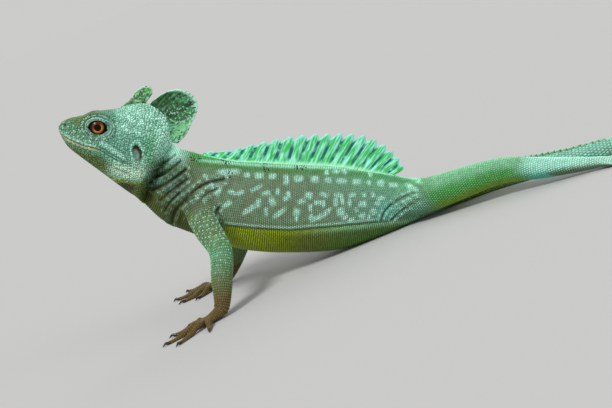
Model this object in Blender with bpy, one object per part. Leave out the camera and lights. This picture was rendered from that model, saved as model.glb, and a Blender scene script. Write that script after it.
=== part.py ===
# Green basilisk, a young male, life size, lying with its chest raised on its fore legs.
# The script models it in millimetres and turns every mesh into metres when it is finished.
# +X runs from head to tail, -Y is the animal's left side, +Z is up, and the floor is Z = 0.
# The origin is the middle of the flat on which the belly rests.

import math

import bmesh
import bpy
import numpy as np
from mathutils import Matrix, Vector

MM = 0.001
GAP = 0.3
SLIVER = 0.02
CREST_CLEAR = 0.45

# Head, in a frame of its own: along runs back from the snout, high is square to it.
SNOUT = (-147.0, 113.5)
HEAD_PITCH = 30.0
# Stations of the head: along and high of the top, along and high of the bottom, high of the
# mouth, high of the brow, and the half widths of jaw, lip, cheek, brow and crown.
HEAD_STATIONS = (
    (-0.8, 3.6, -0.7, 1.5, 2.3, 3.0, 0.8, 1.0, 1.1, 0.9, 0.5),
    (0.6, 6.2, 0.6, -0.9, 0.2, 5.3, 2.1, 2.7, 2.9, 2.3, 1.4),
    (5.0, 8.6, 5.0, -5.8, -1.8, 7.5, 4.2, 5.2, 4.9, 4.2, 2.6),
    (10.0, 10.1, 10.0, -9.0, -3.1, 9.4, 6.3, 7.4, 6.6, 6.1, 3.8),
    (15.0, 12.6, 15.0, -11.9, -3.8, 12.0, 7.9, 9.2, 8.6, 7.9, 4.4),
    (21.0, 14.6, 21.0, -15.3, -4.4, 12.6, 9.4, 10.8, 10.6, 8.7, 4.4),
    (27.0, 16.2, 27.0, -18.7, -6.8, 12.2, 10.6, 11.9, 11.8, 8.7, 4.0),
    (33.0, 19.1, 32.5, -21.9, -9.2, 12.8, 11.3, 12.5, 12.6, 8.3, 3.2),
    (39.0, 20.9, 37.0, -24.4, -10.5, 12.8, 11.6, 12.5, 12.9, 7.8, 2.6),
    (44.0, 20.6, 40.0, -26.0, -11.5, 12.0, 11.4, 12.1, 12.5, 7.2, 2.3),
    (50.0, 17.4, 41.0, -26.4, -12.5, 9.5, 11.0, 11.5, 11.8, 6.2, 2.0),
    (56.2, 10.5, 42.3, -27.1, -13.5, 4.5, 10.4, 10.8, 11.1, 5.0, 1.6),
    (53.4, 0.5, 43.3, -27.5, -14.5, -4.0, 10.0, 10.6, 10.8, 7.0, 4.0),
)
LIP_HEIGHT = 1.2
LIP_SWELL = 0.35
MOUTH_LINE = (
    (-4.0, 1.6),
    (1.1, -0.3),
    (6.1, -2.2),
    (13.3, -3.7),
    (20.0, -4.2),
    (25.0, -5.9),
    (34.5, -9.8),
)
JAW_ANGLE = ((36.5, -14.0), (37.5, -30.0))

EYE_ALONG = 19.1
EYE_HIGH = 6.7
EYE_OUT = 6.6
EYE_RADIUS = 5.25
LID_RADII = (6.8, 5.6, 6.3)
EYE_OPENING = (9.8, 7.9)
EYE_SLIT = 3.4
EAR_ALONG = 40.7
EAR_HIGH = -3.5
EAR_SIZE = (4.2, 8.6)
EAR_TURN = -33.0
EAR_RIM = 0.9
# How far out the middles of the ear's rim and of its cup lie, and how deep each is.
EAR_RIM_OUT = (12.0, 1.3)
EAR_CUP_OUT = (13.2, 1.5)
NOSTRIL_ALONG = 2.2
NOSTRIL_HIGH = 5.0
NOSTRIL_OUT = 3.1
NOSTRIL_RADIUS = 0.75

# Head crests. The front one's foot is given along the head, the rear one's by station of the
# head. Their edges are along and high. Thick is half the thickness at foot and edge, cup is
# how far the sheet stands off the middle plane, and thin is what the rear one loses halfway up.
FRONT_CREST_FOOT = (33.6, 41.0)
FRONT_CREST_EDGE = ((34.0, 23.4), (35.9, 27.0), (39.4, 29.9), (43.2, 29.9), (44.5, 26.9))
FRONT_CREST_THICK = (0.8, 0.45)
FRONT_CREST_CUP = 1.2
REAR_CREST_THICK = (0.95, 0.7)
REAR_CREST_THIN = 0.4
REAR_CREST_CUP = 1.6
REAR_CREST_FOOT = (8.75, 11.75)
REAR_CREST_EDGE = (
    (45.0, 23.0),
    (50.4, 28.0),
    (56.4, 30.5),
    (62.4, 29.9),
    (67.2, 26.4),
    (68.3, 20.0),
    (66.2, 13.8),
    (64.2, 7.6),
    (60.4, 2.6),
)

# Stations of neck and torso: x and z of the back, x and z of the belly, half width, and how
# far the section narrows upwards.
TORSO_STATIONS = (
    (-100.5, 87.3, -123.2, 68.0, 10.8, 0.16),
    (-96.0, 84.6, -120.6, 60.6, 11.3, 0.18),
    (-91.2, 81.4, -117.6, 53.4, 12.0, 0.20),
    (-84.4, 75.9, -112.6, 47.0, 12.9, 0.22),
    (-77.5, 71.0, -104.6, 39.2, 13.9, 0.22),
    (-69.1, 65.6, -95.0, 30.5, 14.8, 0.22),
    (-60.0, 61.2, -84.0, 21.4, 15.3, 0.22),
    (-52.5, 57.5, -72.0, 14.6, 15.5, 0.22),
    (-44.0, 53.4, -61.0, 9.8, 15.5, 0.22),
    (-35.9, 49.6, -50.5, 5.6, 15.3, 0.20),
    (-27.5, 45.6, -40.0, 2.2, 14.9, 0.18),
    (-19.4, 41.4, -29.5, 0.2, 14.2, 0.14),
    (-10.5, 35.8, -16.0, -0.7, 13.2, 0.10),
    (-0.5, 29.9, -2.0, -0.8, 11.8, 0.06),
    (7.5, 25.0, 8.5, -0.8, 10.2, 0.04),
    (16.0, 20.4, 18.5, -0.7, 8.8, 0.04),
)
STATION_STEP = 8.0
NECK_END = 3.0
BODY_SIDES = 28
NARROW_LEVEL = 0.35
# The fold along the flank: how far up the side, how broad, how high, and the stations between
# which it grows at its front end and dies out at its rear end.
FOLD_FROM_BELLY = 0.30
FOLD_BREADTH = 0.09
FOLD_SWELL = 0.7
FOLD_FRONT = (3.5, 5.5)
FOLD_REAR = (11.0, 14.0)

# Tail: it lies on the floor. Distance from its root, height, half width and heading there.
TAIL_ROOT = 26.0
TAIL_STATIONS = (
    (0.0, 17.2, 7.6, 0.0),
    (22.0, 14.4, 6.1, -20.0),
    (48.0, 10.8, 4.9, -34.0),
    (80.0, 8.7, 4.0, -28.0),
    (120.0, 7.2, 3.3, -4.0),
    (170.0, 5.8, 2.7, 8.0),
    (230.0, 4.6, 2.2, 14.0),
    (300.0, 3.5, 1.7, 10.0),
    (375.0, 2.4, 1.3, 0.0),
    (450.0, 1.2, 0.6, -8.0),
)
TAIL_LENGTH = 450.0
TAIL_CUTS = (0.0, 60.0, 140.0, 240.0, 345.0, 450.0)
TAIL_FLAT = 0.5
TAIL_NARROW = 0.08
TAIL_SIDES = 14
TAIL_RINGS = 11

DORSAL_RAYS = 18
COLUMNS_PER_RAY = 4
# The crest on the back: x at its foot, and x and z at its edge.
DORSAL_STATIONS = (
    (-84.0, -82.0, 76.0),
    (-76.0, -69.5, 71.9),
    (-66.0, -57.5, 70.2),
    (-55.0, -45.5, 68.1),
    (-44.0, -33.5, 65.3),
    (-35.0, -22.0, 61.5),
    (-26.5, -11.5, 57.4),
    (-18.0, -1.5, 51.9),
    (-10.0, 6.0, 43.9),
    (-3.0, 10.0, 35.4),
    (4.0, 11.2, 27.4),
)
DORSAL_THICK = (1.3, 0.4)
DORSAL_LOWEST = 0.4
RAY_SWELL = 0.25
RAY_NOTCH = 0.16
TAIL_TEETH = 27
TAIL_TOOTH = 3.4
TAIL_TOOTH_HEIGHT = 2.0
TAIL_TOOTH_THICK = (0.75, 0.3)

# Limbs: points down the middle of each to wrist or ankle, with elbow or knee at the fourth.
# The radius at each point. Then the points from there to the root of the middle digit.
JOINT = 3
WRIST = 5
JOINT_EASE = 0.25
UPPER_SIDES = 16
LOWER_SIDES = 14
FOOT_SIDES = 12
FORE_RADII = (8.6, 8.0, 6.9, 6.0, 5.5, 4.0)
HIND_RADII = (9.6, 9.2, 8.0, 6.6, 5.4, 3.3)
FOLDED_RADII = (6.0, 9.0, 7.8, 6.2, 5.2, 3.3)
LIMBS = {
    "fore_left": (
        (
            (-96, -5, 58),
            (-96, -13, 52),
            (-95.3, -21, 41),
            (-93, -29.5, 29.5),
            (-97.5, -36.5, 17),
            (-102, -41.5, 6),
        ),
        FORE_RADII,
        ((-104.8, -43.0, 3.5), (-110.5, -44.8, 2.1)),
    ),
    "fore_right": (
        (
            (-93, 5, 56),
            (-92, 12, 50),
            (-87, 19.5, 38),
            (-82, 27, 26),
            (-90, 32.5, 14.5),
            (-98, 36, 5.6),
        ),
        FORE_RADII,
        ((-101.2, 37.2, 3.6), (-106.5, 38.8, 2.1)),
    ),
    "hind_left": (
        (
            (2, -4, 13),
            (11, -9, 12),
            (32, -20.5, 12.8),
            (54, -32.5, 13),
            (73, -45, 8.5),
            (92, -57.5, 4.4),
        ),
        HIND_RADII,
        ((97.4, -61.0, 3.6), (103, -64.5, 2.1)),
    ),
    "hind_right": (
        (
            (14, 2, 12),
            (4, 9, 13.5),
            (-11, 19, 17.0),
            (-28, 34, 19.5),
            (-19, 49, 12.5),
            (2, 56.5, 5.2),
        ),
        FOLDED_RADII,
        ((6.4, 59.6, 4.3), (3.6, 65.6, 3.2), (-4.5, 70.0, 2.1)),
    ),
}
# Digits: heading off the line of the palm in degrees, towards the outer side, then length.
FORE_DIGITS = ((-62, 11), (-27, 16), (5, 21), (33, 22), (70, 14))
HIND_DIGITS = ((-48, 13), (-24, 23), (-6, 35), (10, 46), (46, 24))
PALM = (5.0, 2.3)
PALM_EASE = (0.75, 0.8)
PALM_FRONT = 0.7
DIGIT_SPREAD = 0.55
DIGIT_SIDES = 7
DIGIT_ROOT = -1.5
CLAW_LENGTH = 4.2
# Points down a digit: share of its length, share of the claw's, height and radius.
DIGIT_POINTS = (
    (0.0, 0.0, 2.2, 1.65),
    (0.30, 0.0, 2.7, 1.65),
    (0.65, 0.0, 1.2, 1.40),
    (1.0, 0.0, 0.75, 0.95),
    (1.0, 0.5, 1.3, 0.70),
    (1.0, 1.0, 0.4, 0.18),
)
DIGIT_SPOTS = (0, 1, 1.6, 2.3, 3, 4, 5)

SKIN = (0.13, 0.36, 0.22)
PALE = (0.30, 0.42, 0.14)
CREST = (0.05, 0.50, 0.18)
LIMB = (0.14, 0.32, 0.22)
FOOT = (0.16, 0.20, 0.10)
EYE = (0.55, 0.22, 0.03)


def smooth(table, at):
    """Reads a table of evenly numbered stations at a station number, on a smooth curve."""
    table = np.asarray(table, float)
    at = min(max(at, 0.0), len(table) - 1.0)
    low = min(int(at), len(table) - 2)
    part = at - low
    before = table[max(low - 1, 0)]
    after = table[min(low + 2, len(table) - 1)]
    start, end = table[low], table[low + 1]
    rise, fall = (end - before) / 2, (after - start) / 2
    square, cube = part**2, part**3
    return (
        start * (2 * cube - 3 * square + 1)
        + end * (3 * square - 2 * cube)
        + rise * (cube - 2 * square + part)
        + fall * (cube - square)
    )


def head_point(along, out, high):
    """A point of the head's own frame, in the frame of the animal."""
    pitch = math.radians(HEAD_PITCH)
    x = SNOUT[0] + along * math.cos(pitch) + high * math.sin(pitch)
    z = SNOUT[1] - along * math.sin(pitch) + high * math.cos(pitch)
    return Vector((x, out, z))


def head_ring(station):
    """The points round the head at a station, from the throat up the right side and back."""
    values = smooth(HEAD_STATIONS, station)
    top_along, top, low_along, low, mouth, brow = values[:6]
    jaw, lip, cheek, ridge, crown = values[6:]
    lip_height = min(LIP_HEIGHT, 0.3 * (mouth - low))
    swell = LIP_SWELL * min(1.0, lip / 5)
    side = [
        (0.0, low),
        (jaw * 0.62, low + 0.10 * (mouth - low)),
        (jaw, low + 0.45 * (mouth - low)),
        (lip + swell / 2, mouth - lip_height),
        (lip - swell / 2, mouth),
        (lip + swell, mouth + lip_height),
        (cheek, mouth + 0.50 * (brow - mouth)),
        (ridge, brow),
        (crown, brow + 0.75 * (top - brow)),
        (0.0, top),
    ]
    points = []
    for step in range(2 * (len(side) - 1)):
        points.append(smooth(side, step / 2))
    points.append(np.array(side[-1]))
    ring = []
    for out, high in points:
        share = (high - low) / (top - low)
        ring.append(head_point(low_along + share * (top_along - low_along), out, high))
    mirrored = [Vector((p.x, -p.y, p.z)) for p in ring[-2:0:-1]]
    return ring + mirrored


def tail_path():
    """Points of the tail's middle line, one for each of its stations, as x and y."""
    stations = np.array(TAIL_STATIONS)
    x, y, path, last = TAIL_ROOT, 0.0, [], 0.0
    for distance, _, _, _ in TAIL_STATIONS:
        for step in np.linspace(last, distance, 9)[1:]:
            heading = math.radians(np.interp(step, stations[:, 0], stations[:, 3]))
            x += (distance - last) / 8 * math.cos(heading)
            y += (distance - last) / 8 * math.sin(heading)
        last = distance
        path.append((x, y))
    return path


def trunk_table():
    """Every station from the nape to the tail's tip: back, belly, half width and narrowing."""
    table = []
    for back_x, back_z, belly_x, belly_z, half, narrow in TORSO_STATIONS:
        table.append((back_x, 0, back_z, belly_x, 0, belly_z, half, narrow))
    for (_, height, half, _), (x, y) in zip(TAIL_STATIONS, tail_path()):
        table.append((x, y, height, x, y, -TAIL_FLAT, half, TAIL_NARROW))
    return table


TRUNK = trunk_table()
TAIL_FIRST = len(TORSO_STATIONS)


def trunk_station(distance):
    """The station number at a distance down the tail."""
    stations = [row[0] for row in TAIL_STATIONS]
    return TAIL_FIRST + float(np.interp(distance, stations, range(len(stations))))


def ramp(value, start, end):
    """Rises evenly from 0 at start to 1 at end."""
    return min(max((value - start) / (end - start), 0.0), 1.0)


def trunk_ring(station, sides, grow=0.0):
    """The points round neck, torso or tail at a station; grow makes it that much larger."""
    values = smooth(TRUNK, station)
    back, belly = Vector(values[:3]), Vector(values[3:6])
    ahead = smooth(TRUNK, station + 0.05) - smooth(TRUNK, station - 0.05)
    course = Vector(ahead[:3] + ahead[3:6]).normalized()
    up = (back - belly).normalized()
    side = course.cross(up).normalized()
    middle = (back + belly) / 2
    half_height = (back - belly).length / 2 + grow
    half_width = values[6] + grow
    folded = FOLD_SWELL * ramp(station, *FOLD_FRONT) * (1.0 - ramp(station, *FOLD_REAR))
    ring = []
    for step in range(sides):
        turn = 2 * math.pi * step / sides
        high = -math.cos(turn)
        wide = math.sin(turn) * (1 - values[7] * (NARROW_LEVEL + high))
        level = (high + 1) / 2
        fold = folded * math.exp(-(((level - FOLD_FROM_BELLY) / FOLD_BREADTH) ** 2))
        out = wide * half_width + math.copysign(fold, wide)
        point = middle + up * (high * half_height) + side * out
        point.z = max(point.z, -grow)
        ring.append(point)
    return ring


def back_point(x):
    """The height of the back's middle line at x."""
    heights = [(smooth(TRUNK, s / 4)[0], smooth(TRUNK, s / 4)[2]) for s in range(4 * TAIL_FIRST)]
    return float(np.interp(x, [h[0] for h in heights], [h[1] for h in heights]))


def material(name, colour, roughness):
    made = bpy.data.materials.new(name)
    made.use_nodes = True
    shader = made.node_tree.nodes["Principled BSDF"]
    shader.inputs["Base Color"].default_value = (*colour, 1)
    shader.inputs["Roughness"].default_value = roughness
    shader.inputs["Metallic"].default_value = 0.0
    return made


def add(name, bm):
    """Makes an object of a bmesh, with its faces pointing outwards."""
    bmesh.ops.recalc_face_normals(bm, faces=bm.faces)
    mesh = bpy.data.meshes.new(name)
    bm.to_mesh(mesh)
    bm.free()
    made = bpy.data.objects.new(name, mesh)
    bpy.context.scene.collection.objects.link(made)
    return made


def loft(name, rings):
    """A closed body through rings of points: the first ring is drawn out from one to the next."""
    bm = bmesh.new()
    count = len(rings[0])
    loop = bmesh.ops.create_circle(bm, segments=count, radius=1.0, cap_ends=False)["verts"]
    for vert, place in zip(loop, rings[0]):
        vert.co = place
    first = loop
    for ring in rings[1:]:
        edges = [bm.edges.get((loop[i], loop[(i + 1) % count])) for i in range(count)]
        drawn = bmesh.ops.extrude_edge_only(bm, edges=edges)["geom"]
        fresh = {item for item in drawn if isinstance(item, bmesh.types.BMVert)}
        following = []
        for vert, place in zip(loop, ring):
            pair = next(e.other_vert(vert) for e in vert.link_edges if e.other_vert(vert) in fresh)
            pair.co = place
            following.append(pair)
        loop = following
    for end in (first, loop):
        bm.faces.new(end)
    bmesh.ops.triangulate(bm, faces=[face for face in bm.faces if len(face.verts) > 3])
    return add(name, bm)


def tube_rings(path, radii, spots, sides):
    """Rings along a smooth path at the spots given, in numbered points of the path."""
    rings = []
    for spot in spots:
        centre = Vector(smooth(path, spot))
        course = (Vector(smooth(path, spot + 0.05)) - Vector(smooth(path, spot - 0.05))).normalized()
        side = course.cross(Vector((0, 0, 1))).normalized()
        up = side.cross(course).normalized()
        wide, tall = smooth(radii, spot) if np.ndim(radii) == 2 else (smooth(radii, spot),) * 2
        ring = []
        for step in range(sides):
            turn = 2 * math.pi * step / sides
            ring.append(centre + side * (wide * math.cos(turn)) + up * (tall * math.sin(turn)))
        rings.append(ring)
    return rings


def ball(name, centre, radii, turn=0.0, sides=20):
    """A ball or an egg with its own radii along the head, across it and up it."""
    bm = bmesh.new()
    bmesh.ops.create_uvsphere(bm, u_segments=sides, v_segments=sides // 2, radius=1.0)
    tilt = Matrix.Rotation(math.radians(HEAD_PITCH + turn), 4, "Y")
    bm.transform(Matrix.Translation(centre) @ tilt @ Matrix.Diagonal((*radii, 1)))
    bmesh.ops.triangulate(bm, faces=bm.faces)
    return add(name, bm)


def cut_mesh(target, operation, others):
    """Applies one Boolean of several closed objects to the target, and removes them."""
    group = bpy.data.collections.new("group")
    for other in others:
        group.objects.link(other)
    boolean = target.modifiers.new("shape", "BOOLEAN")
    boolean.operation = operation
    boolean.operand_type = "COLLECTION"
    boolean.collection = group
    bpy.context.view_layer.update()
    graph = bpy.context.evaluated_depsgraph_get()
    shaped = bpy.data.meshes.new_from_object(target.evaluated_get(graph))
    target.modifiers.clear()
    target.data = shaped
    for other in others:
        bpy.data.objects.remove(other)
    bpy.data.collections.remove(group)
    keep_largest(target)


def keep_largest(target):
    """Leaves the largest closed surface of an object."""
    bm = bmesh.new()
    bm.from_mesh(target.data)
    left = set(bm.verts)
    islands = []
    while left:
        stack = [left.pop()]
        island = set(stack)
        while stack:
            vert = stack.pop()
            for edge in vert.link_edges:
                other = edge.other_vert(vert)
                if other in left:
                    left.remove(other)
                    island.add(other)
                    stack.append(other)
        islands.append(island)
    islands.sort(key=len)
    scraps = [vert for island in islands[:-1] for vert in island]
    bmesh.ops.delete(bm, geom=scraps, context="VERTS")
    bmesh.ops.dissolve_degenerate(bm, dist=SLIVER, edges=bm.edges)
    bmesh.ops.triangulate(bm, faces=bm.faces)
    bm.to_mesh(target.data)
    bm.free()


def copy_of(source, name):
    made = source.copy()
    made.data = source.data.copy()
    made.name = name
    bpy.context.scene.collection.objects.link(made)
    return made


def floor_block():
    """Everything under the floor, as a block to cut with."""
    bm = bmesh.new()
    bmesh.ops.create_cube(bm, size=2.0)
    bm.transform(Matrix.Translation((150, 0, -20)) @ Matrix.Diagonal((500, 300, 20, 1)))
    return add("floor_cut", bm)


def prism(name, outline, half):
    """A flat outline in the plane of head or body, drawn out to both sides of the middle."""
    bm = bmesh.new()
    corners = [bm.verts.new(head_point(along, -half, high)) for along, high in outline]
    face = bm.faces.new(corners)
    drawn = bmesh.ops.extrude_face_region(bm, geom=[face])["geom"]
    moved = [item for item in drawn if isinstance(item, bmesh.types.BMVert)]
    bmesh.ops.translate(bm, verts=moved, vec=(0, 2 * half, 0))
    bmesh.ops.triangulate(bm, faces=bm.faces)
    return add(name, bm)


def fin(name, columns, rows, place, thick):
    """A thin upright vane: place gives its middle sheet, thick its half thickness."""
    bm = bmesh.new()
    bmesh.ops.create_grid(bm, x_segments=columns, y_segments=rows, size=1.0)
    bmesh.ops.triangulate(bm, faces=bm.faces)
    drawn = bmesh.ops.extrude_face_region(bm, geom=bm.faces[:])["geom"]
    other = {item for item in drawn if isinstance(item, bmesh.types.BMVert)}
    for vert in bm.verts:
        across, up = (vert.co.x + 1) / 2, (vert.co.y + 1) / 2
        middle, side = place(across, up)
        vert.co = middle + side * thick(across, up) * (1 if vert in other else -1)
    return add(name, bm)


def jaw_outline(shift):
    """The outline of the lower jaw's block, pushed forward and down by shift."""
    line = [(along, high - shift) for along, high in MOUTH_LINE]
    rear = [(along - shift, high) for along, high in JAW_ANGLE]
    return line + rear + [(-4.0, -30.0)]


def make_head():
    """Head with lids, ears, nostrils and lips, then the lower jaw parted from it."""
    stations = [0, 0.5, 1, 1.4, 1.8, 2.2, 2.6, 3, 3.5]
    stations += [4 + step / 2 for step in range(16)]
    stations += [12 - GAP / 2]
    head = loft("head", [head_ring(station) for station in stations])
    swellings, hollows = [], []
    for hand in (-1, 1):
        centre = head_point(EYE_ALONG, hand * EYE_OUT, EYE_HIGH)
        swellings.append(ball("lids", centre, LID_RADII, sides=18))
        hollows.append(ball("socket", centre, (EYE_RADIUS + GAP,) * 3, sides=18))
        outside = head_point(EYE_ALONG, hand * (EYE_OUT + EYE_RADIUS), EYE_HIGH)
        slit = (EYE_OPENING[0] / 2, EYE_SLIT, EYE_OPENING[1] / 2)
        hollows.append(ball("opening", outside, slit))
        ear = head_point(EAR_ALONG, hand * EAR_RIM_OUT[0], EAR_HIGH)
        rim = (EAR_SIZE[0] / 2 + EAR_RIM, EAR_RIM_OUT[1], EAR_SIZE[1] / 2 + EAR_RIM)
        swellings.append(ball("ear_rim", ear, rim, EAR_TURN, 14))
        cup = head_point(EAR_ALONG, hand * EAR_CUP_OUT[0], EAR_HIGH)
        hollow = (EAR_SIZE[0] / 2, EAR_CUP_OUT[1], EAR_SIZE[1] / 2)
        hollows.append(ball("ear_cup", cup, hollow, EAR_TURN, 14))
        nostril = head_point(NOSTRIL_ALONG, hand * NOSTRIL_OUT, NOSTRIL_HIGH)
        hollows.append(ball("nostril", nostril, (NOSTRIL_RADIUS,) * 3, sides=8))
        eye = ball("eye_left" if hand < 0 else "eye_right", centre, (EYE_RADIUS,) * 3, sides=18)
        eye.data.materials.append(material(eye.name, EYE, 0.1))
    cut_mesh(head, "UNION", swellings)
    cut_mesh(head, "DIFFERENCE", hollows)
    jaw = copy_of(head, "lower_jaw")
    cut_mesh(jaw, "INTERSECT", [prism("jaw_block", jaw_outline(GAP / 2), 30)])
    cut_mesh(head, "DIFFERENCE", [prism("jaw_block", jaw_outline(-GAP / 2), 30)])
    head.data.materials.append(material("head", SKIN, 0.5))
    jaw.data.materials.append(material("lower_jaw", PALE, 0.5))


def head_crest_front():
    """The small lobe on the crown, leaning back."""

    def place(across, up):
        along = FRONT_CREST_FOOT[0] + across * (FRONT_CREST_FOOT[1] - FRONT_CREST_FOOT[0])
        tops = [row[:2] for row in HEAD_STATIONS[6:10]]
        crown = float(np.interp(along, [row[0] for row in tops], [row[1] for row in tops]))
        edge = smooth(FRONT_CREST_EDGE, across * (len(FRONT_CREST_EDGE) - 1))
        spot = np.array((along, crown + CREST_CLEAR)) * (1 - up) + edge * up
        lean = FRONT_CREST_CUP * up * math.sin(math.pi * across)
        return head_point(spot[0], lean, spot[1]), Vector((0, 1, 0))

    def thick(across, up):
        return FRONT_CREST_THICK[0] * (1 - up) + FRONT_CREST_THICK[1] * up

    crest = fin("head_crest_front", 10, 4, place, thick)
    crest.data.materials.append(material(crest.name, CREST, 0.5))


def head_crest_rear():
    """The large fan behind the crown, a little cupped, with a thick foot and rim."""

    def place(across, up):
        station = REAR_CREST_FOOT[0] + across * (REAR_CREST_FOOT[1] - REAR_CREST_FOOT[0])
        top = smooth(HEAD_STATIONS, station)[:2]
        ahead = smooth(HEAD_STATIONS, min(station + 0.1, 12)) - smooth(HEAD_STATIONS, station - 0.1)
        normal = np.array((-ahead[1], ahead[0])) / math.hypot(ahead[0], ahead[1])
        foot = top + normal * CREST_CLEAR
        edge = smooth(REAR_CREST_EDGE, across * (len(REAR_CREST_EDGE) - 1))
        spot = foot * (1 - up) + edge * up
        cup = REAR_CREST_CUP * math.sin(math.pi * up) * math.sin(math.pi * across)
        return head_point(spot[0], cup, spot[1]), Vector((0, 1, 0))

    def thick(across, up):
        plain = REAR_CREST_THICK[0] * (1 - up) + REAR_CREST_THICK[1] * up
        return plain - REAR_CREST_THIN * math.sin(math.pi * up)

    crest = fin("head_crest_rear", 20, 7, place, thick)
    crest.data.materials.append(material(crest.name, CREST, 0.5))


def dorsal_crest():
    """The crest along the back: rays leaning backwards, with the membrane thinner between."""

    def ray(across):
        return 0.5 + 0.5 * math.cos(2 * math.pi * (across * DORSAL_RAYS - 0.5))

    def place(across, up):
        foot, edge_x, edge_z = smooth(DORSAL_STATIONS, across * (len(DORSAL_STATIONS) - 1))
        base = np.array((foot, back_point(foot) + CREST_CLEAR))
        reach = 1 - RAY_NOTCH * (1 - ray(across))
        spot = base + (np.array((edge_x, edge_z)) - base) * up * reach
        lowest = back_point(spot[0]) + CREST_CLEAR + DORSAL_LOWEST * up
        return Vector((spot[0], 0, max(spot[1], lowest))), Vector((0, 1, 0))

    def thick(across, up):
        plain = DORSAL_THICK[0] + (DORSAL_THICK[1] - DORSAL_THICK[0]) * up**0.6
        return plain + RAY_SWELL * (ray(across) - 0.5) * min(1.0, 4 * up) * (1.2 - up)

    crest = fin("dorsal_crest", DORSAL_RAYS * COLUMNS_PER_RAY, 4, place, thick)
    crest.data.materials.append(material(crest.name, CREST, 0.5))


def tail_crest():
    """The row of low teeth along the top of the tail's root."""
    length = TAIL_TEETH * TAIL_TOOTH

    def place(across, up):
        low = smooth(TRUNK, trunk_station(across * length))
        ahead = smooth(TRUNK, trunk_station(across * length + 2))
        course = Vector((ahead[0] - low[0], ahead[1] - low[1], 0)).normalized()
        tooth = across * TAIL_TEETH % 1.0
        fade = min(1.0, 3 * across, 1.4 - across)
        rise = TAIL_TOOTH_HEIGHT * fade * (0.35 + 0.65 * tooth) * up
        spot = Vector((low[0], low[1], low[2] + CREST_CLEAR + rise)) + course * rise / 2
        return spot, course.cross(Vector((0, 0, 1)))

    def thick(across, up):
        return TAIL_TOOTH_THICK[0] * (1 - up) + TAIL_TOOTH_THICK[1] * up

    crest = fin("tail_crest", TAIL_TEETH * 3, 1, place, thick)
    crest.data.materials.append(material(crest.name, CREST, 0.5))


def trunk_part(name, first, last, spacing, sides, colour):
    """One length of neck, torso or tail between two stations, kept clear of its neighbours."""
    count = max(4, round((last - first) / spacing))
    rings = [trunk_ring(station, sides) for station in np.linspace(first, last, count)]
    part = loft(name, rings)
    part.data.materials.append(material(name, colour, 0.5))
    return part


def make_trunk():
    """Neck, torso and the five lengths of the tail."""
    clear = GAP / 2 / STATION_STEP
    trunk_part("neck", clear, NECK_END - clear, 0.4, BODY_SIDES, SKIN)
    end = trunk_station(TAIL_CUTS[0])
    trunk_part("torso", NECK_END + clear, end - clear, 0.5, BODY_SIDES, SKIN)
    for number, (start, stop) in enumerate(zip(TAIL_CUTS, TAIL_CUTS[1:]), 1):
        first = trunk_station(start + GAP / 2)
        last = trunk_station(stop - (GAP / 2 if stop < TAIL_LENGTH else 0))
        trunk_part(f"tail_{number}", first, last, (last - first) / TAIL_RINGS, TAIL_SIDES, SKIN)


def digit(name, root, heading, length):
    """A toe with its claw: it arches over the knuckle and comes down on the floor."""
    course = Vector((math.cos(heading), math.sin(heading), 0))
    path = []
    for share, claw, height, _ in DIGIT_POINTS:
        reach = share * length + claw * CLAW_LENGTH + (DIGIT_ROOT if share == 0 else 0)
        path.append((*(root + course * reach).xy, height))
    radii = [point[3] for point in DIGIT_POINTS]
    return loft(name, tube_rings(path, radii, DIGIT_SPOTS, DIGIT_SIDES))


def joint_ring(path, radii, spot, shift, sides):
    """The ring at a joint, moved along the limb by shift."""
    back = min(spot, len(path) - 1.05) - 0.05
    course = (Vector(smooth(path, spot + 0.05)) - Vector(smooth(path, back))).normalized()
    return [point + course * shift for point in tube_rings(path, radii, (spot,), sides)[0]]


def make_foot(name, limb, sole, digits, mirror):
    """A hand or foot: the palm drawn on from the wrist or ankle, and five toes joined to it."""
    path, radii = limb
    wrist, root = Vector(path[-1]), Vector(sole[-1])
    joint = joint_ring(path, radii, WRIST, GAP, FOOT_SIDES)
    ahead = (root - Vector(sole[-2])).normalized()
    line = [tuple(wrist), *sole, tuple(root + ahead * 2)]
    last = len(line) - 1
    sizes = [(radii[-1], radii[-1])]
    sizes += [(PALM[0] * PALM_EASE[0], radii[-1] * PALM_EASE[1])] * (len(sole) - 1)
    sizes += [PALM, (PALM[0] * PALM_FRONT, PALM[1] * PALM_FRONT)]
    spots = [step / 2 for step in range(1, 2 * last - 1)] + [last]
    foot = loft(name, [joint] + tube_rings(line, sizes, spots, FOOT_SIDES))
    heading = math.atan2(ahead.y, ahead.x)
    toes = []
    for angle, length in digits:
        turn = heading + math.radians(angle) * mirror
        spread = Vector((math.cos(turn), math.sin(turn), 0)) * PALM[0] * DIGIT_SPREAD
        toes.append(digit("toe", root + spread, turn, length))
    cut_mesh(foot, "UNION", toes)
    cut_mesh(foot, "DIFFERENCE", [floor_block()])
    foot.data.materials.append(material(name, FOOT, 0.6))


def make_limb(name, path, radii, sole, body):
    """Upper and lower limb, cut clear of the body, then the hand or foot."""
    fore = name.startswith("fore")
    names = ("upper_arm", "forearm", "hand") if fore else ("thigh", "shank", "foot")
    side = name.split("_")[1]
    rings = tube_rings(path, radii, np.linspace(0, JOINT - JOINT_EASE, 8), UPPER_SIDES)
    rings.append(joint_ring(path, radii, JOINT, -GAP / 2, UPPER_SIDES))
    upper = loft(f"{names[0]}_{side}", rings)
    cut_mesh(upper, "DIFFERENCE", [copy_of(body, "body_cut"), floor_block()])
    rings = [joint_ring(path, radii, JOINT, GAP / 2, LOWER_SIDES)]
    rings += tube_rings(path, radii, np.linspace(JOINT + JOINT_EASE, WRIST, 7), LOWER_SIDES)
    lower = loft(f"{names[1]}_{side}", rings)
    for part in (upper, lower):
        part.data.materials.append(material(part.name, LIMB, 0.5))
    mirror = 1 if side == "left" else -1
    digits = FORE_DIGITS if fore else HIND_DIGITS
    make_foot(f"{names[2]}_{side}", (path, radii), sole, digits, mirror)


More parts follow.
